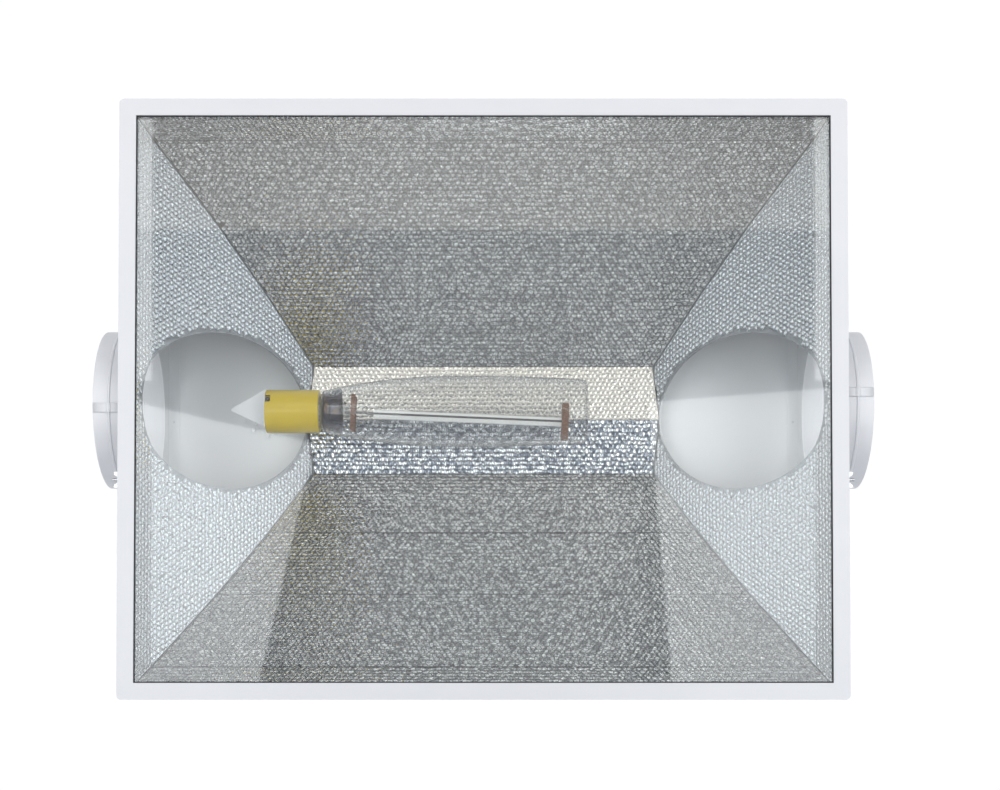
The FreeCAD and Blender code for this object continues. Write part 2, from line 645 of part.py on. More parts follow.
def make_wing_nut():
    """Wing nut at +X, with its two wings spread into a V away from the door."""
    start = frame_half_x + BODY_GAP
    hub = Part.makeCone(NUT_HUB_RADIUS, NUT_HUB_RADIUS * 0.8, NUT_HUB_LENGTH, V(start, LOCK_Y, LOCK_Z), X_AXIS)
    wings = []
    for side in (-1, 1):
        root = NUT_HUB_RADIUS * 0.45
        tip = WING_SPAN / 2
        outline = [V(start + 0.6, LOCK_Y + side * root, LOCK_Z - WING_THICKNESS / 2),
                   V(start + 0.6, LOCK_Y + side * (NUT_HUB_RADIUS + 0.5), LOCK_Z - WING_THICKNESS / 2),
                   V(start + WING_REACH * 0.62, LOCK_Y + side * tip, LOCK_Z - WING_THICKNESS / 2),
                   V(start + WING_REACH, LOCK_Y + side * (tip - 0.8), LOCK_Z - WING_THICKNESS / 2),
                   V(start + WING_REACH * 0.92, LOCK_Y + side * (tip - 4.2), LOCK_Z - WING_THICKNESS / 2),
                   V(start + NUT_HUB_LENGTH * 0.95, LOCK_Y + side * (NUT_HUB_RADIUS * 0.7),
                     LOCK_Z - WING_THICKNESS / 2)]
        wings.append(prism(outline, V(0, 0, WING_THICKNESS)))
    bore = cylinder(V(start - 1, LOCK_Y, LOCK_Z), X_AXIS, STUD_RADIUS + NUT_CLEARANCE, WING_REACH + 4)
    return hub.fuse(wings).removeSplitter().cut(bore)


# ---- Lampholder ----
bracket_x = holder_back_x
base_tip_x = holder_mouth_x - BASE_LENGTH - BASE_NOSE
shell_bore_radius = BASE_RADIUS + THREAD_CLEARANCE
shell_outer_radius = shell_bore_radius + SHELL_SHEET


def make_holder_body():
    """Ceramic body with a blind bore, a terminal notch in its back edge and a flat for the bracket."""
    body = cylinder(V(holder_back_x, 0, lamp_z), X_AXIS, HOLDER_RADIUS, HOLDER_LENGTH)
    rims = [edge for edge in body.Edges if edge.Length > 2 * math.pi * HOLDER_RADIUS - 1 and edge.Curve.TypeId
            == "Part::GeomCircle"]
    body = body.makeFillet(HOLDER_EDGE, rims)
    bore = cylinder(V(base_tip_x - CONTACT_DEPTH, 0, lamp_z), X_AXIS, shell_outer_radius, HOLDER_LENGTH)
    notch = box(holder_back_x - 1, NOTCH_SIDES[0], lamp_z - HOLDER_RADIUS - 1,
                holder_back_x + NOTCH_LENGTH, NOTCH_SIDES[1], lamp_z - HOLDER_RADIUS + NOTCH_DEPTH)
    mouth_notch = box(holder_mouth_x - MOUTH_NOTCH_INSET - MOUTH_NOTCH, -HOLDER_RADIUS - 1, lamp_z - 3,
                      holder_mouth_x - MOUTH_NOTCH_INSET, -HOLDER_RADIUS + 2, lamp_z + 3)
    return body.cut(bore).cut(notch).cut(mouth_notch)


def make_holder_shell():
    start = base_tip_x + 4
    outer = cylinder(V(start, 0, lamp_z), X_AXIS, shell_outer_radius, holder_mouth_x - 1.5 - start)
    return outer.cut(cylinder(V(start - 1, 0, lamp_z), X_AXIS, shell_bore_radius, HOLDER_LENGTH))


def make_holder_contact():
    """Sprung centre contact standing on the floor of the bore."""
    floor = base_tip_x - CONTACT_DEPTH
    head_sheet = 2.0
    post = cylinder(V(floor, 0, lamp_z), X_AXIS, 4.0, CONTACT_DEPTH - head_sheet - CONTACT_GAP)
    head = cylinder(V(base_tip_x - head_sheet - CONTACT_GAP, 0, lamp_z), X_AXIS, 7.0, head_sheet)
    return post.fuse(head)


def make_terminal_screw():
    """Terminal screw that stands on the floor of the holder's notch."""
    grip = 2.2
    notch_floor = lamp_z - HOLDER_RADIUS + NOTCH_DEPTH
    point = V(holder_back_x + NOTCH_LENGTH / 2, sum(NOTCH_SIDES) / 2, notch_floor - grip)
    return rivet(point, V(0, 0, -1), grip, 1.5, 2.6, 1.4)


def foot_point(u, v):
    """A point of the roof foot, from its centre, turned with the foot."""
    angle = math.radians(BRACKET_FOOT_ANGLE)
    centre_x, centre_y = bracket_x - 23.4, 8.0
    return (centre_x + u * math.cos(angle) - v * math.sin(angle),
            centre_y + u * math.sin(angle) + v * math.cos(angle))


def make_bracket():
    """Folded holder bracket: back plate, pointed web, leg up to the roof and a turned foot with screw tabs."""
    sheet = HOOD_SHEET
    plate = box(bracket_x - sheet, -23, lamp_z - 20, bracket_x, 23, lamp_z + 24)
    web_points = [(bracket_x - sheet / 2, -29.0), (bracket_x - 3.5, 18.5), (bracket_x - 43, 0.6),
                  (bracket_x - 46, -1.8), (bracket_x - 43, -4.8)]
    web = prism_z(web_points, lamp_z - sheet / 2, lamp_z + sheet / 2)
    leg = box(bracket_x - sheet, -10, lamp_z + 20, bracket_x, 10, roof_inside_z)
    foot = prism_z([foot_point(-24, -12), foot_point(24, -12), foot_point(24, 2), foot_point(-24, 2)],
                   roof_inside_z - sheet, roof_inside_z)
    link = box(bracket_x - 22, -10, roof_inside_z - sheet, bracket_x, 10, roof_inside_z)
    bracket = plate.fuse([web, leg, foot, link])
    for u in (-8.6, 11.5):
        tab = prism_z([foot_point(u - 4.5, 1), foot_point(u + 4.5, 1), foot_point(u + 4.5, 12),
                       foot_point(u - 4.5, 12)], roof_inside_z - sheet, roof_inside_z)
        bracket = bracket.fuse(tab)
    bracket = bracket.removeSplitter()
    for y in (-HOLDER_SCREW_Y, HOLDER_SCREW_Y):
        hole_start = V(bracket_x - 5, y, lamp_z + HOLDER_SCREW_RISE)
        bracket = bracket.cut(cylinder(hole_start, X_AXIS, HOLDER_SCREW_RADIUS, 10))
    return bracket


def make_bracket_screws():
    """Screws that hold the bracket's foot to the roof, heads downwards."""
    screws = []
    for dx, y in BRACKET_FOOT_SCREWS:
        point = V(bracket_x + dx, y, roof_inside_z - HOOD_SHEET)
        head = cylinder(point - V(0, 0, 1.6), Z_AXIS, 2.6, 1.6)
        slots = box(point.x - 1.7, point.y - 0.35, point.z - 1.7, point.x + 1.7, point.y + 0.35, point.z - 0.8)
        cross = box(point.x - 0.35, point.y - 1.7, point.z - 1.7, point.x + 0.35, point.y + 1.7, point.z - 0.8)
        screws.append(head.cut(slots).cut(cross))
    return Part.makeCompound(screws)


def make_holder_screws():
    """Screws through the bracket's back plate, heads on its far side."""
    screws = []
    for y in (-HOLDER_SCREW_Y, HOLDER_SCREW_Y):
        point = V(bracket_x - HOOD_SHEET, y, lamp_z + HOLDER_SCREW_RISE)
        screws.append(rivet(point, V(-1, 0, 0), HOOD_SHEET, HOLDER_SCREW_RADIUS, 3.8, 2.0))
    return Part.makeCompound(screws)


# ---- Lamp ----
neck_x = holder_mouth_x + 1.0
bulb_end_x = holder_mouth_x + LAMP_REACH


def bulb_profile():
    """(x, radius) points of the outer glass, from the neck to the rim of its flat end."""
    length = bulb_end_x - neck_x
    return [(neck_x, BASE_RADIUS - 0.5), (neck_x + 1.5, NECK_RADIUS - 1.5), (neck_x + 4, NECK_RADIUS),
            (neck_x + 0.035 * length, NECK_RADIUS + 2.2), (neck_x + 0.07 * length, NECK_RADIUS + 5.5),
            (neck_x + 0.12 * length, NECK_RADIUS + 9.5), (neck_x + 0.22 * length, NECK_RADIUS + 14.5),
            (neck_x + 0.38 * length, BULB_RADIUS - 1.2), (neck_x + 0.56 * length, BULB_RADIUS),
            (neck_x + 0.74 * length, BULB_RADIUS - 1.5), (neck_x + 0.92 * length, BULB_END_RADIUS + 1.2),
            (bulb_end_x - 5, BULB_END_RADIUS), (bulb_end_x - 1.4, BULB_END_RADIUS - 1.6),
            (bulb_end_x, BULB_END_RADIUS - 6)]


def make_bulb():
    outer = bulb_profile()
    inner = []
    for x, r in outer[:-1]:
        inner.append((min(max(x, neck_x + 1.0), bulb_end_x - GLASS_WALL), r - GLASS_WALL))
    inner.append((bulb_end_x - GLASS_WALL, 0))
    inner[-2] = (bulb_end_x - GLASS_WALL, inner[-2][1] - 4)
    solid = turned_x([(neck_x, 0)] + outer + [(bulb_end_x, 0)], 0, lamp_z)
    hollow = turned_x([(neck_x + 1.0, 0)] + inner, 0, lamp_z)
    return solid.cut(hollow)


def make_base_shell():
    start = base_tip_x + BASE_NOSE
    shell = cylinder(V(start, 0, lamp_z), X_AXIS, BASE_RADIUS, neck_x - start)
    return shell.cut(cylinder(V(start - 1, 0, lamp_z), X_AXIS, BASE_RADIUS - 0.8, neck_x - start + 2))


def make_base_insulator():
    start = base_tip_x + BASE_NOSE
    return turned_x([(start - 6, 0), (start - 6, 9.0), (start, BASE_RADIUS - 0.8), (start + 3, BASE_RADIUS - 0.8),
                     (start + 3, 0)], 0, lamp_z)


def make_base_tip():
    return turned_x([(base_tip_x, 0), (base_tip_x, 5.0), (base_tip_x + 2, 7.0), (base_tip_x + 2, 0)], 0, lamp_z)


def make_stem():
    """Glass stem: a flared foot in the neck and a flattened press at its end."""
    start = neck_x + 1.0
    flare = turned_x([(start, 0), (start, 16.0), (start + 6, 11.0), (start + 22, 8.0), (start + 22, 0)], 0, lamp_z)
    press = box(start + 21, -8, lamp_z - 3, start + 36, 8, lamp_z + 3)
    return flare.fuse(press).removeSplitter()


def make_getter_ring():
    start = neck_x + 15
    return turned_x([(start, 25.0), (start + 11, 28.0), (start + 11, 29.0), (start, 26.0)], 0, lamp_z)


rod_start_x = neck_x + 34.0
plate_near_x = neck_x + 42.0
plate_far_x = bulb_end_x - 28.0


def leaned(shape):
    """The lamp's inner frame leans to one side, about the press of the stem."""
    moved = shape.copy()
    moved.rotate(V(rod_start_x, 0, lamp_z), Z_AXIS, FRAME_TILT)
    moved.translate(V(0, 2.0, 0))
    return moved


def make_support_rod():
    z = lamp_z - 9
    rod = cylinder(V(rod_start_x, 0, z), X_AXIS, SUPPORT_ROD_RADIUS, plate_far_x - rod_start_x + 3)
    lead = cylinder(V(rod_start_x - 2, 0, z - 1), X_AXIS, SUPPORT_ROD_RADIUS + 0.7, 6)
    return leaned(rod.fuse(lead).removeSplitter())


def make_support_plates():
    """Two channel-shaped plates that centre the arc tube, with clearance for the rod and the tube."""
    plates = []
    for x, width in ((plate_near_x, 5.8), (plate_far_x, 8.8)):
        half = PLATE_SPAN / 2
        z0, z1 = lamp_z - PLATE_HEIGHT - 1, lamp_z + PLATE_HEIGHT - 5
        channel = box(x - width / 2, -half, z0, x + width / 2, half, z1)
        channel = channel.cut(box(x - width / 2 + 0.8, -half - 1, z0 + 0.8, x + width, half + 1, z1 - 0.8))
        channel = channel.cut(cylinder(V(x - 20, 0, lamp_z - 9), X_AXIS, SUPPORT_ROD_RADIUS, 40))
        channel = channel.cut(cylinder(V(x - 20, 0, lamp_z + 1), X_AXIS, ARC_TUBE_RADIUS, 40))
        plates.append(leaned(channel))
    return Part.makeCompound(plates)


def make_arc_tube():
    start = plate_far_x + 2.0 - ARC_TUBE_LENGTH
    tube = cylinder(V(start, 0, lamp_z + 1), X_AXIS, ARC_TUBE_RADIUS, ARC_TUBE_LENGTH)
    tube = tube.cut(cylinder(V(start - 1, 0, lamp_z + 1), X_AXIS, ARC_TUBE_RADIUS - 0.8, ARC_TUBE_LENGTH + 2))
    return leaned(tube)


def make_arc_tube_caps():
    start = plate_far_x + 2.0 - ARC_TUBE_LENGTH
    near = cylinder(V(start - 8, 0, lamp_z + 1), X_AXIS, 1.4, 8).fuse(
        cylinder(V(start, 0, lamp_z + 1), X_AXIS, ARC_TUBE_RADIUS - 0.8, 5))
    end = start + ARC_TUBE_LENGTH
    far = cylinder(V(end, 0, lamp_z + 1), X_AXIS, 1.4, 8).fuse(
        cylinder(V(end - 5, 0, lamp_z + 1), X_AXIS, ARC_TUBE_RADIUS - 0.8, 5))
    return leaned(Part.makeCompound([near, far]))


# ---- Export ----
export("hood_shell", make_hood_shell())
export("end_wall_right", make_end_wall())
export("end_wall_left", mirrored(make_end_wall()))
export("duct_collar_right", make_collar())
export("duct_collar_left", mirrored(make_collar()))
export("end_wall_rivets", Part.makeCompound(
    [rivet(p, d, end_grip) for p, d in both_ends(end_wall_rivet_places())]))
export("collar_rivets", Part.makeCompound(
    [rivet(p, d, collar_grip) for p, d in both_ends(collar_rivet_places())]))
export("hanger_rivets", Part.makeCompound([rivet(p, d, hanger_grip) for p, d in hanger_rivet_places()]))
for end_name, end_sign in (("left", -1), ("right", 1)):
    for side_name, side_sign in (("rear", -1), ("front", 1)):
        export("hanger_" + side_name + "_" + end_name, make_hanger(end_sign, side_sign))
export("cable_gland", make_gland())
export("gland_nut", make_gland_nut())

export("reflector_side_front", make_reflector_side())
export("reflector_side_rear", turned_over(make_reflector_side()))
export("reflector_end_right", make_reflector_end())
export("reflector_end_left", mirrored(make_reflector_end()))
export("reflector_spine", make_reflector_spine())

export("door_frame", make_door_frame())
export("door_glass", make_glass())
export("glass_gasket", make_gasket())
export("door_seal", make_door_seal())
export("glass_clips", make_glass_clips())
export("clip_rivets", make_clip_rivets())
for end_name, end_sign in (("left", -1), ("right", 1)):
    export("hinge_hood_leaf_" + end_name, make_hinge_leaf(end_sign * HINGE_X, True))
    export("hinge_door_leaf_" + end_name, make_hinge_leaf(end_sign * HINGE_X, False))
    export("hinge_pin_" + end_name, make_hinge_pin(end_sign * HINGE_X))
export("lock_studs", Part.makeCompound([make_lock_stud(), mirrored(make_lock_stud())]))
export("wing_nut_right", make_wing_nut())
export("wing_nut_left", mirrored(make_wing_nut()))

export("lampholder_body", make_holder_body())
export("lampholder_shell", make_holder_shell())
export("lampholder_contact", make_holder_contact())
export("terminal_screw", make_terminal_screw())
export("holder_bracket", make_bracket())
export("bracket_screws", make_bracket_screws())
export("holder_screws", make_holder_screws())

export("lamp_bulb", make_bulb())
export("lamp_base_shell", make_base_shell())
export("lamp_base_insulator", make_base_insulator())
export("lamp_base_tip", make_base_tip())
export("lamp_stem", make_stem())
export("lamp_getter_ring", make_getter_ring())
export("lamp_support_rod", make_support_rod())
export("lamp_support_plates", make_support_plates())
export("lamp_arc_tube", make_arc_tube())
export("arc_tube_caps", make_arc_tube_caps())
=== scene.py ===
import math
import bpy
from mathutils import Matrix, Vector


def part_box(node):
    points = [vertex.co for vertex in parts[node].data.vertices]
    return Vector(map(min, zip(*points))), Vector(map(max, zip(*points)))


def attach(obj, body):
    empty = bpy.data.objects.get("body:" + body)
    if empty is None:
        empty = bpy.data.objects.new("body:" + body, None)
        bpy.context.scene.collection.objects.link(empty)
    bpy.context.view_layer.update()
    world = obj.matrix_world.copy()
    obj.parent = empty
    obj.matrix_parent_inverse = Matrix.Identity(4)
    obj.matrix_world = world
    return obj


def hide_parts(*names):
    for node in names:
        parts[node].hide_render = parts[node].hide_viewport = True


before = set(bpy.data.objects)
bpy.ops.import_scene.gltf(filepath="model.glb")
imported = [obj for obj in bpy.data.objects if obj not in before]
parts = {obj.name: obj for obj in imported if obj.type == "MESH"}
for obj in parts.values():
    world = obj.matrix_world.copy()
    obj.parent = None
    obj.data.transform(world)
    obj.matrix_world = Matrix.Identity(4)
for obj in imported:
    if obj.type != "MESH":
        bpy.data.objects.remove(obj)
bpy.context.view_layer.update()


# ---- Studio ----
# The hood hangs with its glass down. The camera stands below it, towards the front edge, and looks up.
# A pale floor lies well below the camera, in a white surround, and flat lamps face the glass.
def bare():
    """Leaves edit mode and deselects everything."""
    if bpy.context.object and bpy.context.object.mode != "OBJECT":
        bpy.ops.object.mode_set(mode="OBJECT")
    bpy.ops.object.select_all(action="DESELECT")


camera_tilt = math.radians(1.428)
bare()
bpy.ops.object.camera_add(location=(0.0, 0.2463, -1.8798), rotation=(math.pi + camera_tilt, 0.0, 0.0))
camera = bpy.context.object
camera.data.lens = 36.0 * 1.5814
camera.data.shift_x = 0.0166
camera.data.shift_y = 0.17
bpy.context.scene.camera = camera
bpy.context.scene.view_settings.view_transform = "Standard"

floor_drop = 4.5
floor_span = 12.0
bare()
bpy.ops.mesh.primitive_plane_add(size=floor_span, location=(0.0, 0.0, -floor_drop))
floor = bpy.context.object
floor.name = "studio_floor"


class Signal:
    """A shader socket that adds Math nodes when it is used in an expression."""
    def __init__(self, tree, socket):
        self.tree = tree
        self.socket = socket

    def math(self, operation, first, second=0.0):
        node = self.tree.nodes.new("ShaderNodeMath")
        node.operation = operation
        for index, value in enumerate((first, second)):
            if isinstance(value, Signal):
                self.tree.links.new(value.socket, node.inputs[index])
            else:
                node.inputs[index].default_value = value
        return Signal(self.tree, node.outputs[0])

    def __add__(self, other):
        return self.math("ADD", self, other)

    def __sub__(self, other):
        return self.math("SUBTRACT", self, other)

    def __rsub__(self, other):
        return self.math("SUBTRACT", other, self)

    def __mul__(self, other):
        return self.math("MULTIPLY", self, other)

    def __pow__(self, other):
        return self.math("POWER", self, other)

    def above(self, edge, softness):
        """0 below an edge and 1 above it, with a soft step."""
        ramp = (self - edge) * (1.0 / softness)
        return self.math("MINIMUM", self.math("MAXIMUM", ramp, 0.0), 1.0)


class Finish:
    """A material with one main shader, and a way to add any other node to it."""
    def __init__(self, name, **constants):
        self.material = bpy.data.materials.new(name)
        self.material.use_nodes = True
        self.tree = self.material.node_tree
        self.shader = self.tree.nodes["Principled BSDF"]
        for key, value in constants.items():
            self.shader.inputs[key.replace("_", " ")].default_value = value

    def node(self, kind, settings=None, output=0, **inputs):
        """A new node with its settings and inputs; an input named _6 is socket number 6."""
        node = self.tree.nodes.new(kind)
        for key, value in (settings or {}).items():
            if key == "stops":
                for stop in value[len(node.color_ramp.elements):]:
                    node.color_ramp.elements.new(stop[0])
                for element, stop in zip(node.color_ramp.elements, value):
                    element.position, element.color = stop
            else:
                setattr(node, key, value)
        for key, value in inputs.items():
            numbered = key[0] == "_"
            socket = node.inputs[int(key[1:]) if numbered else key.replace("_", " ")]
            if isinstance(value, Signal):
                self.tree.links.new(value.socket, socket)
            else:
                socket.default_value = value
        return Signal(self.tree, node.outputs[output])

    def place(self):
        """The point on the piece, in metres along the piece's own axes."""
        return self.node("ShaderNodeTexCoord", output=3)

    def noise(self, size, detail=2.0):
        """Soft random pattern with spots of about the given size in metres."""
        return self.node("ShaderNodeTexNoise", Vector=self.place(), Scale=1.0 / size, Detail=detail)

    def blend(self, factor, first, second):
        """Mix of two colours."""
        return self.node("ShaderNodeMix", {"data_type": "RGBA"}, output=2, _0=factor, _6=first, _7=second)

    def feed(self, key, signal):
        self.tree.links.new(signal.socket, self.shader.inputs[key])

    def mottle(self, size, detail, first, second):
        """Base colour that drifts between two tones."""
        self.feed("Base Color", self.blend(self.noise(size, detail), first, second))

    def wear(self, size, detail, least, spread):
        """Roughness that varies upwards from its least value."""
        self.feed("Roughness", self.noise(size, detail) * spread + least)

    def bump(self, height, distance):
        self.feed("Normal", self.node("ShaderNodeBump", Height=height, Distance=distance, Strength=1.0))

    def on(self, *names):
        """Puts the finish on CAD pieces that are kept."""
        for name in names:
            for slot in parts[name].material_slots:
                slot.material = self.material


floor_paint = Finish("floor_paint", Roughness=0.9)
floor_paint.mottle(1.5, 2.0, (0.62, 0.62, 0.63, 1), (0.66, 0.66, 0.67, 1))
floor.data.materials.append(floor_paint.material)

# White to look at, bright above and dim below the horizon for what the metal mirrors.
world = bpy.data.worlds.new("studio_surround")
bpy.context.scene.world = world
world.use_nodes = True
sky = world.node_tree
direction = sky.nodes.new("ShaderNodeTexCoord")
split = sky.nodes.new("ShaderNodeSeparateXYZ")
shade = sky.nodes.new("ShaderNodeValToRGB")
lift = sky.nodes.new("ShaderNodeMath")
lift.operation = "MULTIPLY_ADD"
lift.inputs[1].default_value = 0.5
lift.inputs[2].default_value = 0.5
seen = sky.nodes.new("ShaderNodeLightPath")
backdrop = sky.nodes.new("ShaderNodeBackground")
either = sky.nodes.new("ShaderNodeMixShader")
sky.links.new(direction.outputs["Generated"], split.inputs[0])
sky.links.new(split.outputs["Z"], lift.inputs[0])
sky.links.new(lift.outputs[0], shade.inputs[0])
sky.links.new(shade.outputs[0], sky.nodes["Background"].inputs["Color"])
sky.links.new(seen.outputs["Is Camera Ray"], either.inputs[0])
sky.links.new(sky.nodes["Background"].outputs[0], either.inputs[1])
sky.links.new(backdrop.outputs[0], either.inputs[2])
sky.links.new(either.outputs[0], sky.nodes["World Output"].inputs["Surface"])
backdrop.inputs["Color"].default_value = (1.0, 1.0, 1.0, 1)
backdrop.inputs["Strength"].default_value = 1.02
stops = shade.color_ramp.elements
stops[0].position, stops[0].color = 0.46, (0.10, 0.105, 0.12, 1)
stops[1].position, stops[1].color = 0.54, (0.80, 0.81, 0.83, 1)
sky.nodes["Background"].inputs["Strength"].default_value = 1.0


def softbox(name, location, size, glow, colour, turn=0.0, aim=None):
    """Rectangular lamp that faces straight up, turned by some degrees, or faces the point that it is
    aimed at; glow is how bright its face looks, against 1 for the white surround."""
    bare()
    bpy.ops.object.light_add(type="AREA", location=location)
    light = bpy.context.object
    light.name = name
    light.data.shape = "RECTANGLE"
    light.data.size, light.data.size_y = size
    light.data.energy = glow * math.pi * size[0] * size[1]
    light.data.color = colour
    if aim:
        light.rotation_euler = (Vector(aim) - Vector(location)).to_track_quat("-Z", "Y").to_euler()
    else:
        light.rotation_euler = (math.pi, 0.0, math.radians(turn))
    light.visible_camera = False


neutral = (1.0, 1.0, 1.0)
cool = (0.97, 0.985, 1.0)
warm = (1.0, 0.93, 0.84)
blue_sky = (0.90, 0.95, 1.0)
box_z = -1.96
hood_middle = (0.0, 0.0, 0.1)
softbox("softbox_left", (-1.127, 0.287, box_z), (1.2, 1.166), 2.1, cool, turn=13.0)
softbox("softbox_right", (1.048, 0.287, box_z), (1.2, 1.166), 2.1, cool, turn=-4.5)
softbox("softbox_left_rear", (-1.26, -0.63, box_z), (0.9, 0.66), 2.6, cool)
softbox("softbox_right_rear", (1.26, -0.63, box_z), (0.9, 0.66), 2.6, cool)
softbox("softbox_rear", (0.0, -1.2215, box_z - 0.005), (3.2, 1.1), 0.85, warm)
softbox("strip_front", (0.0, 2.6, -1.30), (3.4, 0.28), 1.5, neutral, aim=hood_middle)
softbox("strip_rear", (0.0, -2.6, -1.20), (3.4, 0.28), 1.5, neutral, aim=hood_middle)
softbox("strip_left", (-2.8, 0.0, -0.9), (2.4, 0.9), 1.1, blue_sky, aim=hood_middle)
softbox("strip_right", (2.8, 0.0, -0.9), (2.4, 0.9), 1.5, blue_sky, aim=hood_middle)


# ---- Reflector ----
# Hammered, anodised aluminium sheets: two folded long sides, two end panels with the duct's cut-out
# and a shallow V along the top. Each is a sheet of pressed cells, cut to its creases and folded.
side_profile = [(0.3488, 0.0130), (0.3445, 0.0130), (0.3215, 0.0430), (0.2335, 0.1155), (0.1525, 0.1765),
                (0.0725, 0.2320)]
end_profile = [(0.4248, 0.0130), (0.4205, 0.0130), (0.4045, 0.0430), (0.2295, 0.2320)]
sheet_gauge = 0.001
cell_pitch = 0.0064
cell_wander = cell_pitch * 0.30
cell_relief = 0.11
groove_width = 0.00080
groove_depth = 0.00036
dish_depth = 0.00026
least_cell_area = 0.000014
cut_slack = 0.00005
hip_gap = 0.0018
duct_axis_z = 0.127
duct_cut_radius = 0.099


def pressed_sheet(name, width, depth, seed):
    """Flat sheet of uneven six-sided cells, centred on X, from y = 0 to y = -depth."""
    radius = cell_pitch / math.sqrt(3)
    bare()
    bpy.ops.mesh.primitive_circle_add(vertices=6, radius=radius, fill_type="NGON",
                                      location=(-width / 2 - cell_pitch, -depth - radius, 0.0))
    sheet = bpy.context.object
    sheet.name = name
    bpy.ops.object.transform_apply(location=True)
    bpy.ops.object.mode_set(mode="EDIT")
    bpy.ops.mesh.select_all(action="SELECT")
    bpy.ops.mesh.duplicate_move(TRANSFORM_OT_translate={"value": (cell_pitch / 2, 1.5 * radius, 0.0)})
    bpy.ops.object.mode_set(mode="OBJECT")
    across = ((cell_pitch, 0.0, 0.0), width + 2 * cell_pitch)
    down = ((0.0, 3 * radius, 0.0), depth + 3 * radius)
    for step, length in (across, down):
        repeat = sheet.modifiers.new("repeat", "ARRAY")
        repeat.use_relative_offset = False
        repeat.use_constant_offset = True
        repeat.constant_offset_displace = step
        repeat.count = math.ceil(length / max(step))
        bpy.ops.object.modifier_apply(modifier="repeat")
    bpy.ops.object.mode_set(mode="EDIT")
    bpy.ops.mesh.select_all(action="SELECT")
    bpy.ops.mesh.remove_doubles(threshold=radius * 0.05)
    bpy.ops.transform.vertex_random(offset=cell_wander, uniform=0.4, seed=seed)
    bpy.ops.transform.resize(value=(1.0, 1.0, cell_relief), center_override=(0.0, 0.0, 0.0))
    bpy.ops.mesh.flip_normals()
    return sheet


def trim(point, outward):
    """Cuts the open mesh with a plane and clears what is on its outer side."""
    bpy.ops.mesh.select_all(action="SELECT")
    bpy.ops.mesh.bisect(plane_co=point, plane_no=outward, clear_outer=True, threshold=cut_slack)


def folded_panel(name, profile, width, hip, hip_offset, seed):
    """A pressed sheet along X, folded up the profile's (y, z) points and trimmed to the hips at both ends."""
    edge_y, edge_z = profile[0]
    runs = [math.dist(a, b) for a, b in zip(profile, profile[1:])]
    rises = [math.atan2(b[1] - a[1], a[0] - b[0]) for a, b in zip(profile, profile[1:])]
    sheet = pressed_sheet(name, width, sum(runs), seed)
    bpy.ops.mesh.select_all(action="SELECT")
    bpy.ops.transform.translate(value=(0.0, edge_y, edge_z))
    trim((0.0, edge_y - 0.0002, 0.0), (0.0, 1.0, 0.0))
    trim((0.0, edge_y - sum(runs), 0.0), (0.0, -1.0, 0.0))
    for crease in range(len(runs) - 1, 0, -1):
        y = edge_y - sum(runs[:crease])
        bpy.ops.mesh.select_all(action="SELECT")
        bpy.ops.mesh.bisect(plane_co=(0.0, y, 0.0), plane_no=(0.0, 1.0, 0.0), threshold=cut_slack)
        bpy.ops.mesh.select_all(action="DESELECT")
        bpy.ops.object.mode_set(mode="OBJECT")
        for vertex in sheet.data.vertices:
            vertex.select = vertex.co.y < y - 0.00002
        bpy.ops.object.mode_set(mode="EDIT")
        bpy.ops.transform.rotate(value=rises[crease] - rises[crease - 1], orient_axis="X",
                                 center_override=(0.0, y, edge_z))
    bpy.ops.mesh.select_all(action="SELECT")
    bpy.ops.transform.rotate(value=rises[0], orient_axis="X", center_override=(0.0, edge_y, edge_z))
    for (a, b), (c, d) in zip(hip, hip[1:]):
        length = math.hypot(c - a, d - b)
        outward = ((d - b) / length, (a - c) / length)
        for side in (-1.0, 1.0):
            x = a + outward[0] * hip_offset
            z = b + outward[1] * hip_offset
            trim((side * x, 0.0, z), (side * outward[0], 0.0, outward[1]))
    bpy.ops.object.mode_set(mode="OBJECT")
    return sheet


def thicken(sheet):
    """Gives the folded sheet its gauge."""
    wall = sheet.modifiers.new("wall", "SOLIDIFY")
    wall.thickness = sheet_gauge
    wall.offset = -1.0
    bpy.context.view_layer.objects.active = sheet
    bpy.ops.object.modifier_apply(modifier="wall")


def dish_cells(sheet, ring=None):
    """Presses each whole cell of the lower face into a shallow dish, and marks the dishes for the finish,
    which paints shade into the grooves between them.
    Cells that a cut-out's ring (x, z, radius) runs through stay flat."""
    bare()
    bpy.context.view_layer.objects.active = sheet
    cut = set()
    if ring:
        for vertex in sheet.data.vertices:
            if abs(math.hypot(vertex.co.x - ring[0], vertex.co.z - ring[1]) - ring[2]) < 0.0004:
                cut.add(vertex.index)
    for face in sheet.data.polygons:
        whole = face.area > least_cell_area and len(face.vertices) < 9
        face.select = face.normal.z < -0.3 and whole and not cut.intersection(face.vertices)
    bpy.ops.object.mode_set(mode="EDIT")
    bpy.ops.mesh.select_mode(type="FACE")
    bpy.ops.mesh.inset(use_individual=True, thickness=groove_width, depth=-groove_depth)
    bpy.ops.mesh.poke(offset=-dish_depth)
    bpy.ops.object.mode_set(mode="OBJECT")
    press = sheet.data.attributes.new("press", "FLOAT", "POINT")
    for vertex, mark in zip(sheet.data.vertices, press.data):
        mark.value = 1.0 if vertex.select else 0.0
    bpy.ops.object.select_all(action="DESELECT")
    sheet.select_set(True)
    bpy.ops.object.shade_smooth_by_angle(angle=math.radians(50))


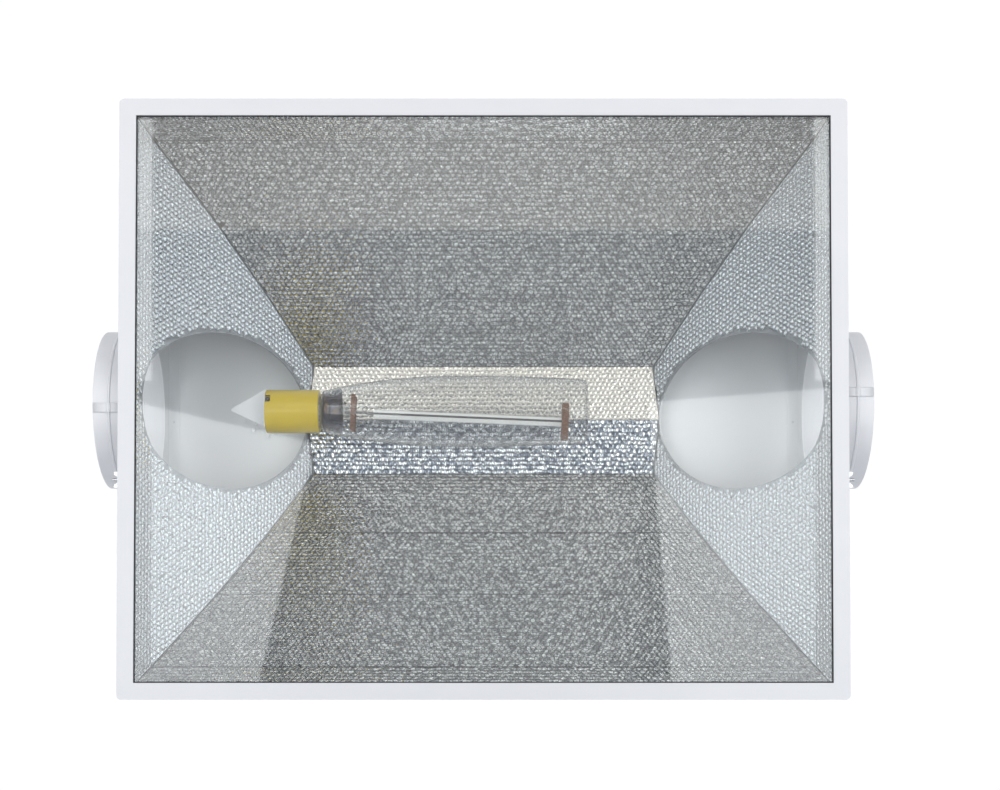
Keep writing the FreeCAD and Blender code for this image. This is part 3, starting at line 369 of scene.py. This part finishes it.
def pressed_finish(name, painted_groove_shade, low, high, rough):
    """Anodised aluminium with painted shade: dark in the grooves between its cells and bright in their
    dishes; the grooves are also rougher.
    """
    finish = Finish(name, Metallic=1.0)
    pressed = finish.node("ShaderNodeAttribute", {"attribute_name": "press"}, output=2)
    tone = finish.blend(finish.noise(0.0055, 0.0).above(0.34, 0.3), low, high)
    # Painted shade: the colour falls to the groove colour across each cell's groove wall.
    finish.tone = finish.blend(pressed ** 1.2, painted_groove_shade, tone)
    finish.feed("Base Color", finish.tone)
    finish.feed("Roughness", finish.noise(0.012, 3.0) * 0.10 + (1.0 - pressed) * 0.15 + rough)
    finish.bump(finish.noise(0.0016, 2.0), 0.00008)
    return finish


def join_reflector(sheet, node, finish):
    """Puts a finished sheet on the hood in place of its CAD node."""
    sheet.data.materials.clear()
    sheet.data.materials.append(finish.material)
    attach(sheet, "hood")
    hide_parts(node)


# Painted light: the sides take a mid-grey copy of the same aluminium, with dark grooves.
side_finish = pressed_finish("hammered_sides", (0.15, 0.155, 0.165, 1), (0.50, 0.51, 0.52, 1),
                             (0.96, 0.965, 0.965, 1), 0.03)
for side_name, side, seed in (("rear", -1.0, 3), ("front", 1.0, 5)):
    panel = folded_panel("pressed_side_" + side_name, side_profile, 0.85, end_profile[1:], -hip_gap, seed)
    thicken(panel)
    dish_cells(panel)
    if side < 0:
        bpy.ops.object.mode_set(mode="EDIT")
        bpy.ops.mesh.select_all(action="SELECT")
        bpy.ops.transform.resize(value=(1.0, -1.0, 1.0), center_override=(0.0, 0.0, 0.0))
        bpy.ops.mesh.flip_normals()
        bpy.ops.object.mode_set(mode="OBJECT")
    join_reflector(panel, "reflector_side_" + side_name, side_finish)

# Painted light: the ends take a lighter, bluer copy of the same aluminium, with pale grooves.
end_finish = pressed_finish("hammered_ends", (0.46, 0.475, 0.50, 1), (0.88, 0.91, 0.94, 1),
                            (0.97, 0.985, 1.0, 1), 0.12)
for end_name, turn, seed in (("left", 1.0, 8), ("right", -1.0, 13)):
    panel = folded_panel("pressed_end_" + end_name, end_profile, 0.71, side_profile[1:], 0.0004, seed)
    thicken(panel)
    bare()
    bpy.ops.mesh.primitive_cylinder_add(vertices=128, radius=duct_cut_radius, depth=0.6,
                                        location=(0.0, 0.35, duct_axis_z), rotation=(math.pi / 2, 0.0, 0.0))
    punch = bpy.context.object
    opening = panel.modifiers.new("duct_cut", "BOOLEAN")
    opening.object = punch
    opening.operation = "DIFFERENCE"
    opening.solver = "EXACT"
    bpy.context.view_layer.objects.active = panel
    bpy.ops.object.modifier_apply(modifier="duct_cut")
    bpy.data.objects.remove(punch)
    dish_cells(panel, ring=(0.0, duct_axis_z, duct_cut_radius))
    bpy.ops.object.mode_set(mode="EDIT")
    bpy.ops.mesh.select_all(action="SELECT")
    bpy.ops.transform.rotate(value=-turn * math.pi / 2, orient_axis="Z", center_override=(0.0, 0.0, 0.0))
    bpy.ops.object.mode_set(mode="OBJECT")
    join_reflector(panel, "reflector_end_" + end_name, end_finish)

spine_low, spine_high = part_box("reflector_spine")
spine_edge_z = spine_high.z - sheet_gauge
spine_half = spine_high.y
spine_profile = [(spine_half, spine_edge_z), (0.0, spine_low.z), (-spine_half, spine_edge_z)]
spine = folded_panel("pressed_spine", spine_profile, 0.49, end_profile[2:], -hip_gap, 21)
thicken(spine)
dish_cells(spine)
# Painted light: the spine takes a dark blue-grey copy of the same aluminium as painted shade, with near-white
# patches as painted sparkle.
spine_finish = pressed_finish("hammered_spine", (0.07, 0.08, 0.095, 1), (0.22, 0.25, 0.30, 1),
                              (0.85, 0.87, 0.90, 1), 0.03)
# Painted light: the rear facet of the V is painted light beige as if lit, and the front facet keeps the dark
# tones as painted shade.
front_half = spine_finish.node("ShaderNodeSeparateXYZ", output=1, Vector=spine_finish.place())
painted_lit_facet_tone = (0.66, 0.64, 0.61, 1)
painted_facet_light = spine_finish.blend(front_half.above(-0.001, 0.002), painted_lit_facet_tone, spine_finish.tone)
spine_finish.feed("Base Color", painted_facet_light)
join_reflector(spine, "reflector_spine", spine_finish)


# ---- Hood ----
# Folded steel shell with two end walls, stoved with white enamel inside and out. The end walls' flanges
# are riveted to the shell, and every cut edge and fold is slightly rounded by the enamel.
white = Finish("white_enamel")
white.mottle(0.05, 3.0, (0.785, 0.80, 0.83, 1), (0.835, 0.845, 0.87, 1))
white.wear(0.02, 2.0, 0.26, 0.12)
white.bump(white.noise(0.0009, 1.0), 0.00001)
enamel_edge = 0.0005


def softened(name, body, finish, edge=enamel_edge, steps=2):
    """The CAD piece again, with its sharp edges rounded over."""
    piece = parts[name].copy()
    piece.data = parts[name].data.copy()
    piece.name = name + "_finished"
    bpy.context.scene.collection.objects.link(piece)
    for holder in (piece, piece.data):
        for key in list(holder.keys()):
            del holder[key]
    bare()
    piece.hide_render = False
    piece.select_set(True)
    bpy.context.view_layer.objects.active = piece
    bpy.ops.object.mode_set(mode="EDIT")
    bpy.ops.mesh.select_all(action="SELECT")
    bpy.ops.mesh.remove_doubles(threshold=0.000004)
    bpy.ops.mesh.dissolve_limited(angle_limit=math.radians(0.6))
    bpy.ops.object.mode_set(mode="OBJECT")
    rounding = piece.modifiers.new("rounding", "BEVEL")
    rounding.width = edge
    rounding.segments = steps
    rounding.limit_method = "ANGLE"
    rounding.angle_limit = math.radians(40)
    bpy.ops.object.modifier_apply(modifier="rounding")
    bpy.ops.object.shade_smooth_by_angle(angle=math.radians(50))
    level = piece.modifiers.new("level", "WEIGHTED_NORMAL")
    level.weight = 100
    level.keep_sharp = True
    bpy.ops.object.modifier_apply(modifier="level")
    piece.data.materials.clear()
    piece.data.materials.append(finish.material)
    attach(piece, body)
    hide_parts(name)
    return piece


# Painted light: the inside of the hood takes a lighter, bluer copy of the same white enamel.
inner_white_painted_light = Finish("inner_enamel_painted_light", Roughness=0.45)
inner_white_painted_light.mottle(0.07, 3.0, (0.885, 0.905, 0.93, 1), (0.915, 0.93, 0.95, 1))
inner_white_painted_light.bump(inner_white_painted_light.noise(0.004, 1.0), 0.00001)
hood_heart = Vector((0.0, 0.0, 0.06))
for sheet_name in ("hood_shell", "end_wall_left", "end_wall_right"):
    plate = softened(sheet_name, "hood", white)
    plate.data.materials.append(inner_white_painted_light.material)
    for face in plate.data.polygons:
        face.material_index = 1 if face.normal.dot(hood_heart - face.center) > 0.02 else 0

blind_rivet = Finish("rivet_aluminium", Metallic=1.0)
blind_rivet.mottle(0.002, 2.0, (0.60, 0.61, 0.62, 1), (0.78, 0.79, 0.80, 1))
blind_rivet.wear(0.0012, 3.0, 0.22, 0.25)
blind_rivet.on("end_wall_rivets", "collar_rivets", "hanger_rivets")


# ---- Duct collars ----
# Steel collars, 8 inches across, rolled from strip with a lapped seam underneath. A rolled bead keeps
# the duct's clamp on, and a flange is riveted to the end wall. Both are enamelled with the hood.
lap_width = math.radians(7)
lap_rise = 0.0006
lap_root = 0.0004
collar_radius = 0.099


def turned(name, outline, axis_y, axis_z, segments=144, spread=None, sealed=False):
    """Round piece about an axis along X from its (x, radius) outline; spread keeps part of the turn,
    and sealed closes its open end."""
    start_x, start_radius = outline[0]
    bare()
    bpy.ops.mesh.primitive_circle_add(vertices=segments, radius=start_radius,
                                      rotation=(0.0, math.pi / 2, 0.0), location=(start_x, axis_y, axis_z))
    piece = bpy.context.object
    piece.name = name
    bpy.ops.object.transform_apply(location=True, rotation=True)
    if spread:
        middle, width = spread
        bpy.ops.object.mode_set(mode="EDIT")
        bpy.ops.mesh.select_mode(type="VERT")
        bpy.ops.mesh.select_all(action="DESELECT")
        bpy.ops.object.mode_set(mode="OBJECT")
        for vertex in piece.data.vertices:
            angle = math.atan2(vertex.co.y - axis_y, axis_z - vertex.co.z) - middle
            vertex.select = abs(angle) > width / 2
        bpy.ops.object.mode_set(mode="EDIT")
        bpy.ops.mesh.delete(type="VERT")
        bpy.ops.object.mode_set(mode="OBJECT")
    bpy.ops.object.mode_set(mode="EDIT")
    bpy.ops.mesh.select_mode(type="VERT")
    bpy.ops.mesh.select_all(action="SELECT")
    for (x, radius), (next_x, next_radius) in zip(outline, outline[1:]):
        bpy.ops.mesh.extrude_region_move(TRANSFORM_OT_translate={"value": (next_x - x, 0.0, 0.0)})
        ratio = next_radius / radius
        bpy.ops.transform.resize(value=(1.0, ratio, ratio), center_override=(next_x, axis_y, axis_z))
    bpy.ops.mesh.select_all(action="SELECT")
    bpy.ops.mesh.remove_doubles(threshold=0.00001)
    if sealed:
        bpy.ops.mesh.fill_holes(sides=0)
    bpy.ops.mesh.normals_make_consistent(inside=False)
    bpy.ops.object.mode_set(mode="OBJECT")
    bpy.ops.object.shade_smooth_by_angle(angle=math.radians(40))
    return piece


for side, collar_name, lap_y in ((-1.0, "duct_collar_left", 0.008), (1.0, "duct_collar_right", -0.011)):
    softened(collar_name, "hood", white, edge=0.00025)
    low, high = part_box(collar_name)
    wall_x = high.x if side < 0 else low.x
    # The lap goes over the rolled bead: (distance from the wall, rise above the pipe).
    over_bead = [(0.003, 0.0), (0.0245, 0.0), (0.0258, 0.0012), (0.0275, 0.0018), (0.0292, 0.0012),
                 (0.0305, 0.0), (high.x - low.x - 0.0006, 0.0)]
    lap_outline = [(wall_x + side * along, collar_radius + rise + lap_rise) for along, rise in over_bead]
    lap = turned(collar_name + "_lap", lap_outline, 0.0, duct_axis_z, segments=720,
                 spread=(lap_y / collar_radius, lap_width))
    seam = lap.modifiers.new("wall", "SOLIDIFY")
    seam.thickness = lap_rise + lap_root
    seam.offset = -1.0
    bpy.ops.object.modifier_apply(modifier="wall")
    lap.data.materials.append(white.material)
    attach(lap, "hood")


# ---- Roof fittings ----
# Four zinc-plated hanging brackets riveted to the roof, and a black nylon cable gland with its nut.
zinc = Finish("zinc_steel", Metallic=1.0)
zinc.mottle(0.004, 3.0, (0.50, 0.515, 0.53, 1), (0.70, 0.71, 0.72, 1))
zinc.wear(0.008, 4.0, 0.20, 0.30)
zinc.bump(zinc.noise(0.0006, 2.0), 0.00001)
for hanger in ("hanger_rear_left", "hanger_rear_right", "hanger_front_left", "hanger_front_right"):
    softened(hanger, "hood", zinc, edge=0.0003)
nylon = Finish("gland_nylon", Roughness=0.5)
nylon.mottle(0.003, 2.0, (0.020, 0.021, 0.023, 1), (0.038, 0.039, 0.042, 1))
nylon.bump(nylon.noise(0.0004, 2.0), 0.00002)
for fitting in ("cable_gland", "gland_nut"):
    softened(fitting, "hood", nylon, edge=0.0004)


# ---- Door ----
# Toughened pane in a folded steel frame, held by spring clips on a rubber gasket. A foam strip on the
# glass seals against the hood. The pane's ground edges look green, its faces are clear.
softened("door_frame", "door", white)


def clear_glass(name, tint_and_painted_shade, gloss=0.03, face_on=0.04, edge_on=0.9, rim=5.0, haze=0.0):
    """Clear sheet or blown glass: see-through face on, and shiny towards its edges on both sides."""
    glass = Finish(name)
    tree = glass.tree
    clear = tree.nodes.new("ShaderNodeBsdfTransparent")
    clear.inputs["Color"].default_value = tint_and_painted_shade
    shine = tree.nodes.new("ShaderNodeBsdfGlossy")
    shine.inputs["Roughness"].default_value = gloss
    facing = glass.node("ShaderNodeLayerWeight", output=1, Blend=0.5)
    dust = tree.nodes.new("ShaderNodeBsdfDiffuse")
    dust.inputs["Color"].default_value = (0.9, 0.91, 0.92, 1)
    dusted = tree.nodes.new("ShaderNodeMixShader")
    both = tree.nodes.new("ShaderNodeMixShader")
    tree.links.new((facing ** rim * (edge_on - face_on) + face_on).socket, both.inputs[0])
    tree.links.new((glass.noise(0.03, 4.0).above(0.38, 0.4) * haze).socket, dusted.inputs[0])
    tree.links.new(clear.outputs[0], dusted.inputs[1])
    tree.links.new(dust.outputs[0], dusted.inputs[2])
    tree.links.new(dusted.outputs[0], both.inputs[1])
    tree.links.new(shine.outputs[0], both.inputs[2])
    tree.links.new(both.outputs[0], tree.nodes["Material Output"].inputs["Surface"])
    tree.nodes.remove(glass.shader)
    return glass


pane = clear_glass("pane_glass", (0.985, 0.995, 0.99, 1), face_on=0.06, haze=0.012)
glass_edge = Finish("ground_glass_edge", Roughness=0.35)
glass_edge.mottle(0.004, 2.0, (0.10, 0.30, 0.28, 1), (0.20, 0.42, 0.39, 1))
glazing = softened("door_glass", "door", pane, edge=0.0004)
glazing.data.materials.append(glass_edge.material)
for face in glazing.data.polygons:
    face.material_index = 1 if abs(face.normal.z) < 0.9 else 0

rubber = Finish("gasket_rubber", Roughness=0.6)
rubber.mottle(0.01, 2.0, (0.018, 0.019, 0.021, 1), (0.035, 0.036, 0.04, 1))
rubber.bump(rubber.noise(0.0008, 2.0), 0.00003)
softened("glass_gasket", "door", rubber, edge=0.0003)
foam = Finish("seal_foam", Roughness=0.95)
# Painted shade: the foam is darker where its bump is low, in its pores.
pores = foam.noise(0.0009, 2.0)
foam.feed("Base Color", foam.blend(pores.above(0.45, 0.2), (0.02, 0.02, 0.022, 1), (0.075, 0.076, 0.08, 1)))
foam.bump(pores, 0.0002)
softened("door_seal", "door", foam, edge=0.0012, steps=3)
softened("glass_clips", "door", zinc, edge=0.0002)
blind_rivet.on("clip_rivets")


# ---- Hinges and door lock ----
# Two leaf hinges of zinc-plated steel along the rear edge, and two studs with wing nuts that hold the
# door's notched tabs shut. The wing nuts are zinc castings.
for hand in ("left", "right"):
    softened("hinge_hood_leaf_" + hand, "hood", zinc, edge=0.0003)
    softened("hinge_door_leaf_" + hand, "door", zinc, edge=0.0003)
zinc.on("hinge_pin_left", "hinge_pin_right", "lock_studs")
cast_zinc = Finish("cast_zinc", Metallic=0.7)
cast_zinc.mottle(0.003, 3.0, (0.60, 0.61, 0.62, 1), (0.86, 0.87, 0.88, 1))
cast_zinc.wear(0.0015, 3.0, 0.25, 0.25)
cast_zinc.bump(cast_zinc.noise(0.0008, 2.0), 0.00003)
for hand in ("left", "right"):
    softened("wing_nut_" + hand, "wing_nut_" + hand, cast_zinc, edge=0.0006, steps=3)


# ---- Lampholder ----
# Glazed ceramic screw lampholder on an enamelled steel bracket, with a brass threaded shell, a sprung
# centre contact and a terminal screw in the notch of its back edge.
softened("holder_bracket", "hood", white)
glaze = Finish("holder_ceramic", Coat_Weight=0.5, Coat_Roughness=0.08)
glaze.mottle(0.02, 3.0, (0.69, 0.49, 0.014, 1), (0.82, 0.60, 0.030, 1))
glaze.wear(0.006, 3.0, 0.28, 0.15)
glaze.bump(glaze.noise(0.003, 3.0), 0.00008)
holder = softened("lampholder_body", "hood", glaze, edge=0.0009, steps=3)
# Painted shade: the notch's faces that do not face down are painted dark brown-black.
notch_painted_shade = Finish("painted_notch_shade", Roughness=0.85)
notch_painted_shade.mottle(0.003, 3.0, (0.035, 0.015, 0.012, 1), (0.10, 0.04, 0.03, 1))
holder.data.materials.append(notch_painted_shade.material)
holder_back_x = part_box("lampholder_body")[0].x
notch_length = 0.0071
notch_sides = (-0.0186, -0.0094)
notch_top_z = 0.121
outside_slope = -0.35
for face in holder.data.polygons:
    in_width = notch_sides[0] < face.center.y < notch_sides[1] and face.center.z < notch_top_z
    in_length = 0.0 < face.center.x - holder_back_x < notch_length
    if in_width and in_length and face.normal.z > outside_slope:
        face.material_index = 1
brass = Finish("contact_brass", Metallic=1.0)
brass.mottle(0.004, 3.0, (0.52, 0.34, 0.12, 1), (0.72, 0.53, 0.24, 1))
brass.wear(0.002, 3.0, 0.22, 0.25)
brass.on("lampholder_shell", "lampholder_contact")
dark_steel_and_recess_shade = Finish("blacked_steel_and_recess_shade", Metallic=0.9)
dark_steel_and_recess_shade.mottle(0.002, 2.0, (0.05, 0.05, 0.055, 1), (0.12, 0.12, 0.125, 1))
dark_steel_and_recess_shade.wear(0.001, 2.0, 0.3, 0.3)
dark_steel_and_recess_shade.on("terminal_screw")
zinc.on("holder_screws")

foot_screws = ((-0.3102, 0.0108), (-0.2917, 0.0188), (-0.3066, 0.0022))
recess_arm = 0.0030
recess_width = 0.0007
recess_depth = 0.0010
recess_reach = 0.0017
recess_slack = 0.0001
screws = softened("bracket_screws", "hood", zinc, edge=0.0002)
head_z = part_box("bracket_screws")[0].z
bare()
for x, y in foot_screws:
    for arm_turn in (20.0, 110.0):
        bpy.ops.mesh.primitive_cube_add(size=1.0, location=(x, y, head_z),
                                        rotation=(0.0, 0.0, math.radians(arm_turn)),
                                        scale=(recess_arm, recess_width, 2 * recess_depth))
        cutter = bpy.context.object
        recess = screws.modifiers.new("recess", "BOOLEAN")
        recess.object = cutter
        recess.operation = "DIFFERENCE"
        recess.solver = "EXACT"
        bpy.context.view_layer.objects.active = screws
        bpy.ops.object.modifier_apply(modifier="recess")
        bpy.data.objects.remove(cutter)
        bare()
# Painted shade: the walls of the cross recesses take the dark steel finish.
screws.data.materials.append(dark_steel_and_recess_shade.material)
for face in screws.data.polygons:
    sunk = recess_slack < face.center.z - head_z < recess_depth + 2 * recess_slack
    if sunk and abs(face.normal.z) < 0.2:
        from_screw = min(math.dist((face.center.x, face.center.y), screw) for screw in foot_screws)
        face.material_index = 1 if from_screw < recess_reach else 0


# ---- Lamp ----
# High-pressure discharge lamp: a clear outer bulb sealed to a nickel-plated screw base, with a flared
# stem, a bent support frame with two plates, a translucent ceramic arc tube and a dark getter mirror.
# Painted shade: the bulb's see-through colour is set darker than clear glass, to darken what is seen through
# it.
bulb_glass = clear_glass("bulb_glass", (0.91, 0.915, 0.92, 1), gloss=0.015, face_on=0.06, edge_on=0.95,
                         rim=2.2)
bulb_low, bulb_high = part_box("lamp_bulb")
lamp_z = (bulb_low.z + bulb_high.z) / 2
bulb_length = bulb_high.x - bulb_low.x
neck_radius = 0.025
widest = bulb_high.y
end_radius = 0.041
corner = 0.0058
sealed_mouth = [(0.0, 0.0190), (0.0015, 0.0235)]
bulb_segments = 96


def bulb_radius(along):
    """Outer radius at a fraction of the bulb's length: a swelling neck, then a slight taper."""
    swell = math.sin(min(1.0, along / 0.5) * math.pi / 2) ** 0.8
    taper = max(0.0, along - 0.56) / 0.42
    return neck_radius + (widest - neck_radius) * swell - (widest - end_radius) * taper ** 2


rings = 44
first = 0.012
last = 1.0 - corner / bulb_length
bulb_outline = [(bulb_low.x + along, radius) for along, radius in sealed_mouth]
for step in range(rings + 1):
    along = first + (last - first) * step / rings
    bulb_outline.append((bulb_low.x + along * bulb_length, bulb_radius(along)))
shoulder = bulb_radius(last) - corner
for degrees in range(15, 91, 15):
    angle = math.radians(degrees)
    corner_x = bulb_high.x - corner + corner * math.sin(angle)
    bulb_outline.append((corner_x, shoulder + corner * math.cos(angle)))
bulb_outline += [(bulb_high.x, shoulder * 0.5), (bulb_high.x, 0.0)]
bulb = turned("lamp_bulb_glass", bulb_outline, 0.0, lamp_z, segments=bulb_segments, sealed=True)
bulb.data.materials.append(bulb_glass.material)
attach(bulb, "lamp")
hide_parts("lamp_bulb")

stem_glass = clear_glass("stem_glass", (0.93, 0.95, 0.95, 1), gloss=0.08, face_on=0.14, edge_on=0.8)
stem_glass.on("lamp_stem")
film = Finish("getter_film", Metallic=1.0)
film_tone = film.node("ShaderNodeValToRGB", {"stops": [
    (0.0, (0.45, 0.30, 0.12, 1)), (0.35, (0.17, 0.11, 0.08, 1)), (0.6, (0.07, 0.09, 0.14, 1)),
    (1.0, (0.38, 0.27, 0.20, 1))]}, Fac=film.noise(0.009, 3.0))
film.feed("Base Color", film_tone)
film.wear(0.004, 2.0, 0.06, 0.20)
film.on("lamp_getter_ring")
smoke_x = bulb_low.x + 0.0035
smoke_outline = [(smoke_x, 0.0228), (smoke_x + 0.004, 0.0234), (smoke_x + 0.009, 0.0246)]
smoke = turned("lamp_neck_film", smoke_outline, 0.0, lamp_z, segments=bulb_segments)
film_wall = smoke.modifiers.new("wall", "SOLIDIFY")
film_wall.thickness = 0.0002
film_wall.offset = -1.0
bpy.ops.object.modifier_apply(modifier="wall")
smoke.data.materials.append(film.material)
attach(smoke, "lamp")
bronze = Finish("plate_bronze", Metallic=0.8)
bronze.mottle(0.006, 3.0, (0.15, 0.07, 0.045, 1), (0.30, 0.17, 0.11, 1))
bronze.wear(0.003, 2.0, 0.30, 0.25)
softened("lamp_support_plates", "lamp", bronze, edge=0.0002)
wire = Finish("lamp_wire", Metallic=1.0)
wire.mottle(0.004, 3.0, (0.10, 0.10, 0.11, 1), (0.26, 0.25, 0.24, 1))
wire.wear(0.002, 2.0, 0.22, 0.20)
wire.on("lamp_support_rod", "arc_tube_caps")
# Painted light: the arc tube glows faintly in its own colour, though the lamp is not lit.
arc = Finish("arc_ceramic", Roughness=0.25, Emission_Strength=0.30)
arc_tone_and_painted_glow = arc.blend(arc.noise(0.010, 3.0), (0.86, 0.86, 0.84, 1), (0.95, 0.95, 0.94, 1))
arc.feed("Base Color", arc_tone_and_painted_glow)
arc.feed("Emission Color", arc_tone_and_painted_glow)
arc.on("lamp_arc_tube")


def bent_wire(name, bends, radius):
    """Stiff wire on one smooth curve through its bends."""
    bare()
    bpy.ops.curve.primitive_nurbs_path_add()
    lead = bpy.context.object
    lead.name = name
    path = lead.data.splines[0]
    path.points.add(len(bends) - len(path.points))
    for point, bend in zip(path.points, bends):
        point.co = (*bend, 1.0)
    path.order_u = 4
    path.use_endpoint_u = True
    lead.data.bevel_depth = radius
    lead.data.bevel_resolution = 3
    lead.data.use_fill_caps = True
    bpy.ops.object.convert(target="MESH")
    lead.data.materials.append(wire.material)
    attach(lead, "lamp")


press_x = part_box("lamp_stem")[1].x
bent_wire("lamp_lead_loop", [
    (press_x - 0.004, 0.003, lamp_z - 0.001), (press_x + 0.006, 0.004, lamp_z - 0.004),
    (press_x + 0.018, 0.002, lamp_z - 0.008), (press_x + 0.026, -0.003, lamp_z - 0.008),
    (press_x + 0.021, -0.007, lamp_z - 0.004), (press_x + 0.015, -0.003, lamp_z - 0.002),
    (press_x + 0.019, 0.003, lamp_z + 0.001), (press_x + 0.025, 0.003, lamp_z + 0.001)], 0.0005)
bent_wire("lamp_lead_short", [
    (press_x - 0.004, -0.003, lamp_z - 0.001), (press_x + 0.002, -0.004, lamp_z - 0.005),
    (press_x + 0.004, 0.000, lamp_z - 0.009), (press_x + 0.001, 0.004, lamp_z - 0.010),
    (press_x - 0.003, 0.003, lamp_z - 0.010)], 0.0006)

nickel = Finish("base_nickel", Metallic=1.0)
nickel.mottle(0.005, 3.0, (0.55, 0.54, 0.51, 1), (0.74, 0.73, 0.70, 1))
nickel.wear(0.003, 3.0, 0.15, 0.20)
nickel.on("lamp_base_shell", "lamp_base_tip")
black_glass = Finish("base_insulator", Coat_Weight=0.4)
black_glass.mottle(0.004, 2.0, (0.012, 0.010, 0.014, 1), (0.03, 0.027, 0.035, 1))
black_glass.wear(0.003, 2.0, 0.15, 0.2)
black_glass.on("lamp_base_insulator")
